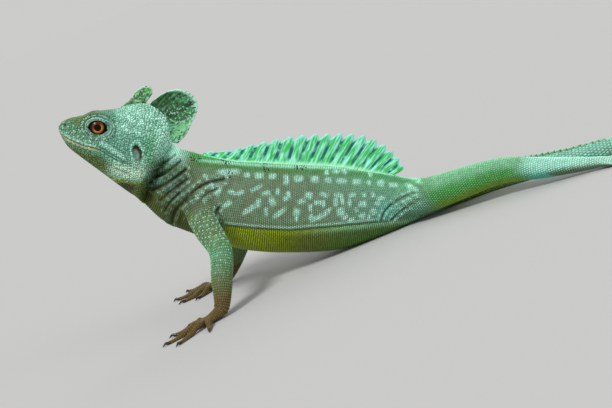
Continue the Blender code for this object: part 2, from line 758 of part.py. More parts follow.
def finish_meshes():
    """Turns every mesh into metres and shades it smooth."""
    for made in bpy.data.objects:
        made.data.transform(Matrix.Scale(MM, 4))
        made.data.shade_smooth()


def main():
    for old in list(bpy.data.objects):
        bpy.data.objects.remove(old)
    make_head()
    head_crest_front()
    head_crest_rear()
    make_trunk()
    dorsal_crest()
    tail_crest()
    stations = np.linspace(0, trunk_station(TAIL_CUTS[1]), 60)
    body = loft("body_cut_source", [trunk_ring(station, BODY_SIDES, GAP) for station in stations])
    for name, (path, radii, sole) in LIMBS.items():
        make_limb(name, path, radii, sole, body)
    bpy.data.objects.remove(body)
    finish_meshes()


main()
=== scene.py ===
"""Looks of the green basilisk: one scaled skin, ribbed crests, eyes and claws over the solids.

Everything is modelled in millimetres and turned into metres when a piece is finished.
+X runs from head to tail, -Y is the animal's left side, +Z is up and the floor is Z = 0.
"""

import functools
import math

import bmesh
import bpy
import numpy as np
from mathutils import Matrix, Vector
from mathutils.bvhtree import BVHTree
from mathutils.kdtree import KDTree


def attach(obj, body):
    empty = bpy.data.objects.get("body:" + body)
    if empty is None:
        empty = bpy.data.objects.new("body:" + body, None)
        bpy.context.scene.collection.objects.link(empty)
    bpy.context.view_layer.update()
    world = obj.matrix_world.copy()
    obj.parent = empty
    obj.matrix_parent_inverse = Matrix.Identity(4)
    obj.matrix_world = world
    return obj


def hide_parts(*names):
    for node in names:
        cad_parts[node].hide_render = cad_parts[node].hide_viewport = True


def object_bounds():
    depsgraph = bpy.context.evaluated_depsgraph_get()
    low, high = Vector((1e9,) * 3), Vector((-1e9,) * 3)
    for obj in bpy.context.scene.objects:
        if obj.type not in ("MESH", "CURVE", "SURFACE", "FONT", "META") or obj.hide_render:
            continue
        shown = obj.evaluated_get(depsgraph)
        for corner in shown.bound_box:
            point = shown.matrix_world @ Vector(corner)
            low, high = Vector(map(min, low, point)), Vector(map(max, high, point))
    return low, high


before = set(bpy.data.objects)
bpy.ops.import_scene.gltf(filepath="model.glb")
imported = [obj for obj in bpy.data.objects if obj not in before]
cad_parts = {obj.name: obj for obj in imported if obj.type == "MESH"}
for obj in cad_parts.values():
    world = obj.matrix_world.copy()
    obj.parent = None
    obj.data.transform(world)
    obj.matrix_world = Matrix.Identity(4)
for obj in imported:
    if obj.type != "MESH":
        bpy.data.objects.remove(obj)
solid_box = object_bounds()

MM = 0.001
RANDOM_SEED = 7

CAMERA_LENS = 100
CAMERA_SENSOR = 36
CAMERA_RISE = math.radians(9.0)
CAMERA_ROLL = math.radians(22.5)
CAMERA_AIM = (-0.0438, 0.0, 0.0304)
CAMERA_AWAY = 0.891

# Head, in a frame of its own: along runs back from the snout, high is square to it.
SNOUT = (-147.0, 113.5)
HEAD_PITCH = math.radians(30.0)
# Stations of the head: along and high of the top, along and high of the bottom, high of the
# mouth, high of the brow, and the half widths of jaw, lip, cheek, brow and crown.
HEAD_STATIONS = (
    (-0.8, 3.6, -0.7, 1.5, 2.3, 3.0, 0.8, 1.0, 1.1, 0.9, 0.5),
    (0.6, 6.2, 0.6, -0.9, 0.2, 5.3, 2.1, 2.7, 2.9, 2.3, 1.4),
    (5.0, 8.6, 5.0, -5.8, -1.8, 7.5, 4.2, 5.2, 4.9, 4.2, 2.6),
    (10.0, 10.1, 10.0, -9.0, -3.1, 9.4, 6.3, 7.4, 6.6, 6.1, 3.8),
    (15.0, 12.6, 15.0, -11.9, -3.8, 12.0, 7.9, 9.2, 8.6, 7.9, 4.4),
    (21.0, 14.6, 21.0, -15.3, -4.4, 12.6, 9.4, 10.8, 10.6, 8.7, 4.4),
    (27.0, 16.2, 27.0, -18.7, -6.8, 12.2, 10.6, 11.9, 11.8, 8.7, 4.0),
    (33.0, 19.1, 32.5, -21.9, -9.2, 12.8, 11.3, 12.5, 12.6, 8.3, 3.2),
    (39.0, 20.9, 37.0, -24.4, -10.5, 12.8, 11.6, 12.5, 12.9, 7.8, 2.6),
    (44.0, 20.6, 40.0, -26.0, -11.5, 12.0, 11.4, 12.1, 12.5, 7.2, 2.3),
    (50.0, 17.4, 41.0, -26.4, -12.5, 9.5, 11.0, 11.5, 11.8, 6.2, 2.0),
    (56.2, 10.5, 42.3, -27.1, -13.5, 4.5, 10.4, 10.8, 11.1, 5.0, 1.6),
    (53.4, 0.5, 43.3, -27.5, -14.5, -4.0, 10.0, 10.6, 10.8, 7.0, 4.0),
)
LIP_HEIGHT = 1.2
LIP_SWELL = 0.35
MOUTH_LINE = (
    (-1.3, 0.6),
    (1.1, -0.3),
    (6.1, -2.2),
    (13.3, -3.7),
    (18.7, -4.1),
    (22.5, -4.7),
    (27.1, -6.9),
    (32.2, -8.9),
    (36.0, -9.6),
)
# The slit of the mouth: its depth and half its height, how far the blade that cuts it sticks
# out, where it runs from and to, and where it fades.
MOUTH_SLIT = (0.9, 0.15)
MOUTH_BLADE_OUT = 1.2
MOUTH_ENDS = (35.0, 0.4)
MOUTH_FADE = (36.0, 28.0)
SNOUT_TIP = (-0.85, 0.0, 0.55)

EYE = (19.1, 6.6, 6.7)
EYE_RADIUS = 5.25
PUPIL_RADIUS = 1.85
IRIS_RADIUS = 3.05
SOCKET_GAP = 0.12
LID_RADII = (6.8, 5.6, 6.3)
EYE_OPENING = (9.9, 7.2)
EYE_SLIT = 3.4
EYE_CORNERS = (5.7, 4.3, 1.7)
EYE_CORNERS_DROP = 0.7
EAR = (40.7, -3.5)
EAR_SIZE = (4.6, 9.0)
EAR_TURN = math.radians(-18.0)
EAR_RIM = 0.9
EAR_RIM_OUT = (12.0, 1.3)
EAR_CUP_OUT = (13.2, 1.6)
NOSTRIL = (2.2, 3.1, 5.0)
NOSTRIL_RADIUS = 0.75

FRONT_CREST_FOOT = (28.6, 41.0)
FRONT_CREST_EDGE = (
    (28.8, 17.6),
    (31.4, 20.2),
    (34.0, 23.2),
    (36.2, 27.2),
    (39.4, 29.8),
    (43.2, 29.9),
    (44.5, 26.9),
)
FRONT_CREST_THICK = (0.8, 0.45)
FRONT_CREST_CUP = 1.2
REAR_CREST_FOOT = (8.75, 11.75)
REAR_CREST_EDGE = (
    (45.0, 23.0),
    (50.4, 28.0),
    (56.4, 30.5),
    (62.4, 29.9),
    (67.2, 26.4),
    (68.3, 20.0),
    (66.2, 13.8),
    (64.2, 7.6),
    (60.4, 2.6),
)
REAR_CREST_THICK = (0.95, 0.7)
REAR_CREST_THIN = 0.4
REAR_CREST_RIB = 0.07
REAR_CREST_RIBS = 13
REAR_CREST_CUP = 1.6
CREST_ROOT = 0.4
REAR_CREST_ROOT = 2.4

# Stations of neck and torso: x and z of the back, x and z of the belly, half width, and how
# far the section narrows upwards.
TORSO_STATIONS = (
    (-100.5, 87.3, -123.2, 68.0, 10.8, 0.16),
    (-96.0, 84.6, -120.6, 60.6, 11.3, 0.18),
    (-91.2, 81.4, -117.6, 53.4, 12.0, 0.20),
    (-84.4, 75.9, -112.6, 47.0, 12.9, 0.22),
    (-77.5, 71.0, -104.6, 39.2, 13.9, 0.22),
    (-69.1, 65.6, -95.0, 30.5, 14.8, 0.22),
    (-60.0, 61.2, -84.0, 21.4, 15.3, 0.22),
    (-52.5, 57.5, -72.0, 14.6, 15.5, 0.22),
    (-44.0, 53.4, -61.0, 9.8, 15.5, 0.22),
    (-35.9, 49.6, -50.5, 5.6, 15.3, 0.20),
    (-27.5, 45.6, -40.0, 2.2, 14.9, 0.18),
    (-19.4, 41.4, -29.5, 0.2, 14.2, 0.14),
    (-10.5, 35.8, -16.0, -0.7, 13.2, 0.10),
    (-0.5, 29.9, -2.0, -0.8, 11.8, 0.06),
    (7.5, 25.0, 8.5, -0.8, 10.2, 0.04),
    (16.0, 20.4, 18.5, -0.7, 8.8, 0.04),
)
NARROW_LEVEL = 0.35
FOLD_LEVEL = 0.30
FOLD_BREADTH = 0.09
FOLD_SWELL = 0.7
FOLD_FRONT = (3.5, 5.5)
FOLD_REAR = (11.0, 14.0)

# Tail: distance from its root, height, half width and heading in degrees.
TAIL_ROOT = 26.0
TAIL_STATIONS = (
    (0.0, 17.2, 7.6, 0.0),
    (22.0, 14.4, 6.1, -20.0),
    (48.0, 10.8, 4.9, -34.0),
    (80.0, 8.7, 4.0, -28.0),
    (120.0, 7.2, 3.3, -4.0),
    (170.0, 5.8, 2.7, 8.0),
    (230.0, 4.6, 2.2, 14.0),
    (300.0, 3.5, 1.7, 10.0),
    (375.0, 2.4, 1.3, 0.0),
    (450.0, 1.2, 0.6, -8.0),
)
TAIL_STEPS = 8
TAIL_FLAT = 0.5
TAIL_NARROW = 0.08

DORSAL_RAYS = 18
# The crest on the back: x at its foot, and x and z at its edge.
DORSAL_STATIONS = (
    (-84.0, -82.0, 76.0),
    (-76.0, -69.5, 71.9),
    (-66.0, -57.5, 70.2),
    (-55.0, -45.5, 68.1),
    (-44.0, -33.5, 65.3),
    (-35.0, -22.0, 61.5),
    (-26.5, -11.5, 57.4),
    (-18.0, -1.5, 51.9),
    (-10.0, 6.0, 43.9),
    (-3.0, 10.0, 35.4),
    (4.0, 11.2, 27.4),
)
DORSAL_THICK = (1.3, 0.4)
RAY_SWELL = 0.42
RAY_NOTCH = 0.16
TAIL_TEETH = 27
TAIL_TOOTH = 3.4
TAIL_TOOTH_HEIGHT = 2.0
TAIL_TOOTH_THICK = (0.75, 0.25)

# Limbs: points down the middle of each to wrist or ankle, with elbow or knee at the fourth.
# The radius at each point. Then the points from there to the root of the middle digit.
FORE_RADII = (8.6, 8.0, 6.9, 6.0, 5.5, 4.0)
HIND_RADII = (9.6, 9.2, 8.0, 6.6, 5.4, 3.3)
FOLDED_RADII = (6.0, 9.0, 7.8, 6.2, 5.2, 3.3)
LIMBS = {
    "fore_left": (
        (
            (-96, -5, 58),
            (-96, -13, 52),
            (-95.3, -21, 41),
            (-93, -29.5, 29.5),
            (-97.5, -36.5, 17),
            (-102, -41.5, 6),
        ),
        FORE_RADII,
        ((-104.8, -43.0, 3.5), (-110.5, -44.8, 2.1)),
    ),
    "fore_right": (
        (
            (-93, 5, 56),
            (-92, 12, 50),
            (-87, 19.5, 38),
            (-82, 27, 26),
            (-90, 32.5, 14.5),
            (-98, 36, 5.6),
        ),
        FORE_RADII,
        ((-101.2, 37.2, 3.6), (-106.5, 38.8, 2.1)),
    ),
    "hind_left": (
        (
            (2, -4, 13),
            (11, -9, 12),
            (32, -20.5, 12.8),
            (54, -32.5, 13),
            (73, -45, 8.5),
            (92, -57.5, 4.4),
        ),
        HIND_RADII,
        ((97.4, -61.0, 3.6), (103, -64.5, 2.1)),
    ),
    "hind_right": (
        (
            (14, 2, 12),
            (4, 9, 13.5),
            (-11, 19, 17.0),
            (-28, 34, 19.5),
            (-19, 49, 12.5),
            (2, 56.5, 5.2),
        ),
        FOLDED_RADII,
        ((6.4, 59.6, 4.3), (3.6, 65.6, 3.2), (-4.5, 70.0, 2.1)),
    ),
}
# Digits: heading off the line of the palm in degrees, towards the outer side, then length.
FORE_DIGITS = ((-62, 11), (-27, 16), (5, 21), (33, 22), (70, 14))
HIND_DIGITS = ((-48, 13), (-24, 23), (-6, 35), (10, 46), (46, 24))
PALM = (5.0, 2.3)
PALM_EASE = (0.75, 0.8)
PALM_FRONT = 0.7
DIGIT_SPREAD = 0.55
DIGIT_ROOT = -1.5
CLAW_LENGTH = 4.2
# Points down a digit: share of its length, share of the claw's, height and radius.
DIGIT_POINTS = (
    (0.0, 0.0, 2.2, 1.65),
    (0.30, 0.0, 2.7, 1.65),
    (0.65, 0.0, 1.2, 1.40),
    (1.0, 0.0, 0.75, 0.95),
    (1.0, 0.5, 1.3, 0.70),
    (1.0, 1.0, 0.4, 0.18),
)

# How finely the skin is modelled.
BODY_SIDES = 128
LIMB_SIDES = 44
LIMB_RINGS = 74
TOE_SIDES = 14
HEAD_CURVE = 181
HEAD_SPACING = 0.5
TORSO_SPACING = 0.75
TAIL_SPACING = 3.4
EVEN_MARKS = 400
CAP_SHARES = (0.35, 0.62, 0.82, 0.94)
# Stations at which the head's last ring and the neck's first one lie.
HEAD_LAST = 11.95
NECK_FIRST = 0.05
# How many rings the blend of the neck spans, how often it is done and how far it goes each time.
NECK_BLEND = 13
NECK_ROUNDS = 150
NECK_STEP = 0.8
# The blend of a limb into the body: how far it reaches, from where it is looked for, and how
# often and how far it is evened out. Then how far the toes' blend reaches over the palm.
JOIN_REACH = 7.0
JOIN_SPAN = 34.0
JOIN_ROUNDS = 22
JOIN_STEP = 0.6
PALM_BLEND = (3.5, 8.0)
SKIN_DEPTH = 0.28
FLOOR_CLEAR = 0.04
WITHIN = 0.00002


def smooth(table, at):
    """Reads evenly numbered stations at one or more station numbers, on a smooth curve."""
    table = np.asarray(table, float)
    at = np.clip(np.asarray(at, float), 0, len(table) - 1)
    low = np.minimum(at.astype(int), len(table) - 2)
    part = at - low
    if table.ndim > 1:
        part = part[..., None]
    before = table[np.maximum(low - 1, 0)]
    start, end = table[low], table[low + 1]
    after = table[np.minimum(low + 2, len(table) - 1)]
    rise, fall = (end - before) / 2, (after - start) / 2
    square, cube = part**2, part**3
    curve = start * (2 * cube - 3 * square + 1) + end * (3 * square - 2 * cube)
    return curve + rise * (cube - 2 * square + part) + fall * (cube - square)


def ramp(value, start, end):
    """Rises evenly from 0 at start to 1 at end."""
    return np.clip((value - start) / (end - start), 0.0, 1.0)


def ease(value, start, end):
    """Rises softly from 0 at start to 1 at end."""
    part = ramp(value, start, end)
    return part * part * (3 - 2 * part)


def bump(value, middle, breadth):
    """A soft hump, 1 high at the middle."""
    return np.exp(-(((value - middle) / breadth) ** 2))


def unit(vectors):
    """Vectors of the same headings, each 1 long."""
    vectors = np.asarray(vectors, float)
    return vectors / np.maximum(np.linalg.norm(vectors, axis=-1, keepdims=True), 1e-9)


def head_point(along, out, high):
    """Points of the head's own frame, in the frame of the animal."""
    x = SNOUT[0] + along * math.cos(HEAD_PITCH) + high * math.sin(HEAD_PITCH)
    z = SNOUT[1] - along * math.sin(HEAD_PITCH) + high * math.cos(HEAD_PITCH)
    return np.stack(np.broadcast_arrays(x, out, z), -1)


def in_head(points):
    """How far along and how high points lie in the head's own frame."""
    x, z = points[..., 0] - SNOUT[0], points[..., 2] - SNOUT[1]
    along = x * math.cos(HEAD_PITCH) - z * math.sin(HEAD_PITCH)
    return along, x * math.sin(HEAD_PITCH) + z * math.cos(HEAD_PITCH)


def head_ring(station, count):
    """Points round the head at a station, from the throat up the right side and back."""
    values = smooth(HEAD_STATIONS, station)
    top_along, top, low_along, low, mouth, brow, jaw, lip, cheek, ridge, crown = values
    lip_height = min(LIP_HEIGHT, 0.3 * (mouth - low))
    swell = LIP_SWELL * min(1.0, lip / 5)
    side = (
        (0.0, low),
        (jaw * 0.62, low + 0.10 * (mouth - low)),
        (jaw, low + 0.45 * (mouth - low)),
        (lip + swell / 2, mouth - lip_height),
        (lip - swell / 2, mouth),
        (lip + swell, mouth + lip_height),
        (cheek, mouth + 0.50 * (brow - mouth)),
        (ridge, brow),
        (crown, brow + 0.75 * (top - brow)),
        (0.0, top),
    )
    share = np.linspace(0, 1, HEAD_CURVE)
    curve = smooth(side, share * (len(side) - 1))
    reach = np.concatenate([[0], np.cumsum(np.linalg.norm(np.diff(curve, axis=0), axis=1))])
    evenness = 0.55 + 0.45 * ease(station, 6, 11.5)
    spread = (1 - evenness) * share + evenness * reach / reach[-1]
    picks = np.interp(np.linspace(0, 1, count // 2 + 1), spread, share)
    out, high = smooth(side, picks * (len(side) - 1)).T
    level = (high - low) / (top - low)
    ring = head_point(low_along + level * (top_along - low_along), out, high)
    return np.concatenate([ring, ring[-2:0:-1] * (1, -1, 1)])


def tail_path():
    """Points of the tail's middle line, one for each of its stations, as x and y."""
    stations = np.array(TAIL_STATIONS)
    x, y, path, last = TAIL_ROOT, 0.0, [], 0.0
    for distance in stations[:, 0]:
        for step in np.linspace(last, distance, TAIL_STEPS + 1)[1:]:
            heading = math.radians(np.interp(step, stations[:, 0], stations[:, 3]))
            x += (distance - last) / TAIL_STEPS * math.cos(heading)
            y += (distance - last) / TAIL_STEPS * math.sin(heading)
        last = distance
        path.append((x, y))
    return path


def trunk_table():
    """Every station from the nape to the tail's tip: back, belly, half width and narrowing."""
    table = []
    for back_x, back_z, belly_x, belly_z, half, narrow in TORSO_STATIONS:
        table.append((back_x, 0, back_z, belly_x, 0, belly_z, half, narrow))
    for (_, height, half, _), (x, y) in zip(TAIL_STATIONS, tail_path()):
        table.append((x, y, height, x, y, -TAIL_FLAT, half, TAIL_NARROW))
    return table


TRUNK = trunk_table()
TAIL_FIRST = len(TORSO_STATIONS)
TRUNK_LAST = len(TRUNK) - 1


def trunk_station(distance):
    """The station number at a distance down the tail."""
    stations = [row[0] for row in TAIL_STATIONS]
    return TAIL_FIRST + np.interp(distance, stations, range(len(stations)))


def trunk_ring(station, count):
    """Points round neck, torso or tail at a station, from the belly up the right side."""
    values = smooth(TRUNK, station)
    back, belly = values[:3], values[3:6]
    ahead = smooth(TRUNK, station + 0.05) - smooth(TRUNK, station - 0.05)
    course = unit(ahead[:3] + ahead[3:6])
    up = unit(back - belly)
    side = unit(np.cross(course, up))
    folded = FOLD_SWELL * ramp(station, *FOLD_FRONT) * (1.0 - ramp(station, *FOLD_REAR))
    turn = 2 * math.pi * np.arange(count) / count
    high = -np.cos(turn)
    wide = np.sin(turn) * (1 - values[7] * (NARROW_LEVEL + high))
    swell = folded * bump((high + 1) / 2, FOLD_LEVEL, FOLD_BREADTH)
    out = wide * values[6] + np.sign(wide) * swell
    reach = np.linalg.norm(back - belly) / 2
    ring = (back + belly) / 2 + up * (high * reach)[:, None] + side * out[:, None]
    ring[:, 2] = np.maximum(ring[:, 2], 0)
    return ring


def even_stations(reader, first, last, spacing):
    """Station numbers that lie about one spacing apart on the body."""
    fine = np.linspace(first, last, EVEN_MARKS)
    marks = np.array([reader(station) for station in fine])
    steps = np.linalg.norm(np.diff(marks, axis=0), axis=1)
    reach = np.concatenate([[0], np.cumsum(steps)])
    count = max(2, round(reach[-1] / spacing) + 1)
    return np.interp(np.linspace(0, reach[-1], count), reach, fine)


def head_middle(station):
    """The middle of the head at a station."""
    values = smooth(HEAD_STATIONS, station)
    return head_point((values[0] + values[2]) / 2, 0.0, (values[1] + values[3]) / 2)


def trunk_middle(station):
    """The middle of neck, torso or tail at a station."""
    values = smooth(TRUNK, station)
    return (values[:3] + values[3:6]) / 2


def rounded(ring, depth, towards):
    """Rings that close the end of a body with a round cap."""
    middle = ring.mean(0)
    caps = []
    for share in CAP_SHARES:
        shrink = math.sqrt(1 - share**2)
        caps.append(middle + (ring - middle) * shrink + np.asarray(towards) * depth * share)
    return caps


def tube_rings(path, radii, spots, sides):
    """Rings along a smooth path at the spots given, in numbered points of the path."""
    centre = smooth(path, spots)
    course = unit(smooth(path, spots + 0.05) - smooth(path, spots - 0.05))
    side = unit(np.cross(course, (0, 0, 1)))
    up = unit(np.cross(side, course))
    size = smooth(radii, spots)
    turn = 2 * math.pi * np.arange(sides) / sides
    wide = side[:, None] * size[:, None, :1] * np.cos(turn)[None, :, None]
    tall = up[:, None] * size[:, None, -1:] * np.sin(turn)[None, :, None]
    return centre[:, None] + wide + tall


def add(name, bm):
    """Makes an object of a bmesh, with its faces pointing outwards."""
    bmesh.ops.recalc_face_normals(bm, faces=bm.faces)
    mesh = bpy.data.meshes.new(name)
    bm.to_mesh(mesh)
    bm.free()
    made = bpy.data.objects.new(name, mesh)
    bpy.context.scene.collection.objects.link(made)
    return made


def loft(name, rings):
    """A closed body through rings of points."""
    rings = np.asarray(rings, float)
    count, sides = rings.shape[:2]
    bm = bmesh.new()
    bmesh.ops.create_grid(bm, x_segments=sides, y_segments=count - 1, size=1.0)
    for vert in bm.verts:
        turn = round((vert.co.x + 1) / 2 * sides) % sides
        row = round((vert.co.y + 1) / 2 * (count - 1))
        vert.co = rings[row, turn]
    bmesh.ops.remove_doubles(bm, verts=bm.verts, dist=1e-5)
    bmesh.ops.holes_fill(bm, edges=bm.edges, sides=0)
    bmesh.ops.triangulate(bm, faces=bm.faces)
    return add(name, bm)


def ball(name, centre, radii, turn=0.0, sides=40):
    """A ball or an egg with its own radii along the head, across it and up it."""
    bm = bmesh.new()
    bmesh.ops.create_uvsphere(bm, u_segments=sides, v_segments=sides // 2, radius=1.0)
    tilt = Matrix.Rotation(HEAD_PITCH + turn, 4, "Y")
    bm.transform(Matrix.Translation(centre) @ tilt @ Matrix.Diagonal((*radii, 1)))
    bmesh.ops.triangulate(bm, faces=bm.faces)
    return add(name, bm)


def combine(target, operation, others):
    """Applies one Boolean of several closed objects to the target, and removes them."""
    group = bpy.data.collections.new("group")
    for other in others:
        group.objects.link(other)
    boolean = target.modifiers.new("shape", "BOOLEAN")
    boolean.operation = operation
    boolean.solver = "MANIFOLD"
    boolean.operand_type = "COLLECTION"
    boolean.collection = group
    bpy.context.view_layer.update()
    graph = bpy.context.evaluated_depsgraph_get()
    shaped = bpy.data.meshes.new_from_object(target.evaluated_get(graph))
    target.modifiers.clear()
    target.data = shaped
    for other in others:
        bpy.data.objects.remove(other)
    bpy.data.collections.remove(group)


def points_of(mesh):
    """Where the points of a mesh lie, as rows of x, y and z."""
    flat = np.empty(len(mesh.vertices) * 3, np.float32)
    mesh.vertices.foreach_get("co", flat)
    return flat.reshape(-1, 3).astype(float)


def normals_of(mesh):
    """Which way the surface faces at each point of a mesh."""
    flat = np.empty(len(mesh.vertices) * 3, np.float32)
    mesh.vertex_normals.foreach_get("vector", flat)
    return flat.reshape(-1, 3).astype(float)


def place_points(mesh, points):
    """Moves the points of a mesh to new places."""
    mesh.vertices.foreach_set("co", np.asarray(points, np.float32).ravel())
    mesh.update()


def edges_of(mesh):
    """The numbers of the two points of each edge."""
    flat = np.empty(len(mesh.edges) * 2, np.int32)
    mesh.edges.foreach_get("vertices", flat)
    return flat.reshape(-1, 2)


def relax(mesh, weight, rounds):
    """Evens out a mesh where weight is above 0, by moving each point towards its neighbours."""
    points, edges = points_of(mesh), edges_of(mesh)
    count = len(points)
    linked = np.bincount(edges.ravel(), minlength=count).clip(1)[:, None]
    for _ in range(rounds):
        total = np.zeros_like(points)
        for axis in range(3):
            total[:, axis] += np.bincount(edges[:, 0], points[edges[:, 1], axis], count)
            total[:, axis] += np.bincount(edges[:, 1], points[edges[:, 0], axis], count)
        points += (total / linked - points) * weight[:, None] * JOIN_STEP
    place_points(mesh, points)


def store_values(mesh, name, values):
    """Keeps a number for each point of a mesh, which its paint reads."""
    layer = mesh.attributes.new(name, "FLOAT", "POINT")
    layer.data.foreach_set("value", values.astype(np.float32))


def surface_of(made):
    """The surface of an object, to find its nearest place to any point."""
    bm = bmesh.new()
    bm.from_mesh(made.data)
    tree = BVHTree.FromBMesh(bm)
    bm.free()
    return tree


def body_rings():
    """Rings from the snout to the tail's tip, and the numbers at which neck and tail begin."""
    stations = even_stations(head_middle, 0, HEAD_LAST, HEAD_SPACING)
    rings = [head_ring(station, BODY_SIDES) for station in stations]
    forward = head_point(-1.0, 0, 0) - head_point(0.0, 0, 0)
    rings = rounded(rings[0], 0.3, forward)[::-1] + rings
    stations = even_stations(trunk_middle, NECK_FIRST, TAIL_FIRST + 0.2, TORSO_SPACING)
    joint = len(rings)
    rings += [trunk_ring(station, BODY_SIDES) for station in stations]
    rings = blended(np.array(rings), joint)
    stations = even_stations(trunk_middle, TAIL_FIRST + 0.4, TRUNK_LAST, TAIL_SPACING)
    tail = [trunk_ring(station, BODY_SIDES) for station in stations]
    end = rounded(tail[-1], 0.1, unit(tail[-1].mean(0) - tail[-2].mean(0)))
    return np.array(rings + tail + end), joint, len(rings)


def spread_rings(rings, spacing):
    """Rings at an even spacing, read between those given."""
    reach = np.cumsum(np.linalg.norm(np.diff(rings.mean(1), axis=0), axis=1))
    reach = np.concatenate([[0], reach])
    even = np.linspace(0, reach[-1], round(reach[-1] / spacing) + 1)
    at = np.interp(even, reach, np.arange(len(rings)))
    low = np.minimum(at.astype(int), len(rings) - 2)
    part = (at - low)[:, None, None]
    return rings[low] * (1 - part) + rings[low + 1] * part


def blended(rings, joint):
    """Smooths the rings lengthwise near the joint of head and neck."""
    weight = bump(np.arange(len(rings)), joint, NECK_BLEND)[1:-1, None, None]
    for _ in range(NECK_ROUNDS):
        middle = (rings[:-2] + rings[2:]) / 2
        rings[1:-1] += (middle - rings[1:-1]) * weight * NECK_STEP
    return list(rings)


def limb_lines(name):
    """The middle line and the sizes of a limb from its root to the front of the palm."""
    path, radii, sole = LIMBS[name]
    ahead = unit(np.subtract(sole[-1], sole[-2]))
    line = [*path, *sole, tuple(np.array(sole[-1]) + ahead * 2)]
    sizes = [(radius, radius) for radius in radii]
    sizes += [(PALM[0] * PALM_EASE[0], radii[-1] * PALM_EASE[1])] * (len(sole) - 1)
    sizes += [PALM, (PALM[0] * PALM_FRONT, PALM[1] * PALM_FRONT)]
    return np.array(line, float), np.array(sizes, float), ahead


def digit_lines(name):
    """The middle line and the radii of each digit of a limb."""
    line, _, ahead = limb_lines(name)
    root = line[-2]
    heading = math.atan2(ahead[1], ahead[0])
    mirror = 1 if name.endswith("left") else -1
    lines = []
    for angle, length in FORE_DIGITS if name.startswith("fore") else HIND_DIGITS:
        turn = heading + math.radians(angle) * mirror
        course = np.array((math.cos(turn), math.sin(turn)))
        start = root[:2] + course * PALM[0] * DIGIT_SPREAD
        points = []
        for share, claw, height, _ in DIGIT_POINTS:
            reach = share * length + claw * CLAW_LENGTH + (DIGIT_ROOT if share == 0 else 0)
            points.append((*(start + course * reach), height))
        lines.append((np.array(points), np.array([row[3] for row in DIGIT_POINTS]), length))
    return lines


def limb_body(name):
    """A limb from its root to the front of its palm."""
    line, sizes, ahead = limb_lines(name)
    spots = np.linspace(0, len(line) - 1, LIMB_RINGS)
    rings = list(tube_rings(line, sizes, spots, LIMB_SIDES))
    return loft(name, rings + rounded(rings[-1], 1.2, ahead))


def digit_body(points, radii, length):
    """A toe without its claw: knuckles swell a little where it bends."""
    joints = max(2, round(length / 7))
    spots = np.linspace(0, 3.0, 12 + 2 * round(length / 2))
    swell = 1 + 0.07 * np.cos(2 * math.pi * joints * spots / 3.0)
    rings = tube_rings(points, radii[:, None], spots, TOE_SIDES)
    centre = smooth(points, spots)[:, None]
    rings = centre + (rings - centre) * swell[:, None, None]
    ahead = unit(points[3] - points[2])
    return loft("toe", list(rings) + rounded(rings[-1], 0.9, ahead))


def mouth_blade():
    """A thin ribbon round the snout from one corner of the mouth to the other, to cut with."""
    deep, half = MOUTH_SLIT
    stations = np.array(HEAD_STATIONS)
    along = np.concatenate([np.linspace(*MOUTH_ENDS, 70), [-0.1, -0.45]])
    out = np.interp(along, stations[:, 0], stations[:, 7])
    line = np.array(MOUTH_LINE)
    high = smooth(line, np.interp(along, line[:, 0], range(len(line))))[:, 1]
    left = np.stack([along, -out, high], -1)
    path = np.concatenate([left, [SNOUT_TIP], left[::-1] * (1, -1, 1)])
    course = unit(np.gradient(path[:, :2], axis=0))
    normal = np.stack([-course[:, 1], course[:, 0]], -1)
    normal *= np.sign((normal * (path[:, :2] - (18.0, 0.0))).sum(1))[:, None]
    taper = ease(path[:, 0], *MOUTH_FADE)[:, None]
    inner = path[:, :2] - normal * deep * np.maximum(taper, 0.05)
    outer = path[:, :2] + normal * MOUTH_BLADE_OUT
    rings = []
    for near, far, level in zip(inner, outer, path[:, 2]):
        corners = ((near, -half * 0.5), (far, -half * 2), (far, half * 2), (near, half * 0.5))
        rings.append([head_point(spot[0], spot[1], level + lift) for spot, lift in corners])
    return loft("mouth_blade", rings)


def face_parts(hand):
    """For one side of the head: lids and ear rim, and the hollows of eye, ear and nostril."""
    eye = head_point(EYE[0], hand * EYE[1], EYE[2])
    outside = head_point(EYE[0], hand * (EYE[1] + EYE_RADIUS), EYE[2])
    corners = head_point(EYE[0], hand * (EYE[1] + EYE_RADIUS), EYE[2] - EYE_CORNERS_DROP)
    opening = (EYE_OPENING[0] / 2, EYE_SLIT, EYE_OPENING[1] / 2)
    ear = head_point(EAR[0], hand * EAR_RIM_OUT[0], EAR[1])
    rim = (EAR_SIZE[0] / 2 + EAR_RIM, EAR_RIM_OUT[1], EAR_SIZE[1] / 2 + EAR_RIM)
    cup = head_point(EAR[0], hand * EAR_CUP_OUT[0], EAR[1])
    cup_radii = (EAR_SIZE[0] / 2, EAR_CUP_OUT[1], EAR_SIZE[1] / 2)
    nostril = head_point(NOSTRIL[0], hand * NOSTRIL[1], NOSTRIL[2])
    raised = [
        ball("lids", eye, LID_RADII, sides=56),
        ball("ear_rim", ear, rim, EAR_TURN),
    ]
    hollows = [
        ball("socket", eye, (EYE_RADIUS + SOCKET_GAP,) * 3, sides=56),
        ball("opening", outside, opening, sides=64),
        ball("corners", corners, EYE_CORNERS, sides=64),
        ball("ear_cup", cup, cup_radii, EAR_TURN),
        ball("nostril", nostril, (NOSTRIL_RADIUS,) * 3, sides=20),
    ]
    return raised, hollows


def fused_skin():
    """Body, limbs and toes as one closed surface, with eye openings, nostrils, ears and mouth."""
    body = loft("skin", body_rings()[0])
    surfaces = {"body": surface_of(body)}
    others, hollows = [], []
    for name in LIMBS:
        limb = limb_body(name)
        surfaces[name] = surface_of(limb)
        others.append(limb)
        others += [digit_body(*line) for line in digit_lines(name)]
    for hand in (-1, 1):
        raised, sunk = face_parts(hand)
        others += raised
        hollows += sunk
    combine(body, "UNION", others)
    soften_joins(body, surfaces)
    combine(body, "DIFFERENCE", hollows + [mouth_blade()])
    return body


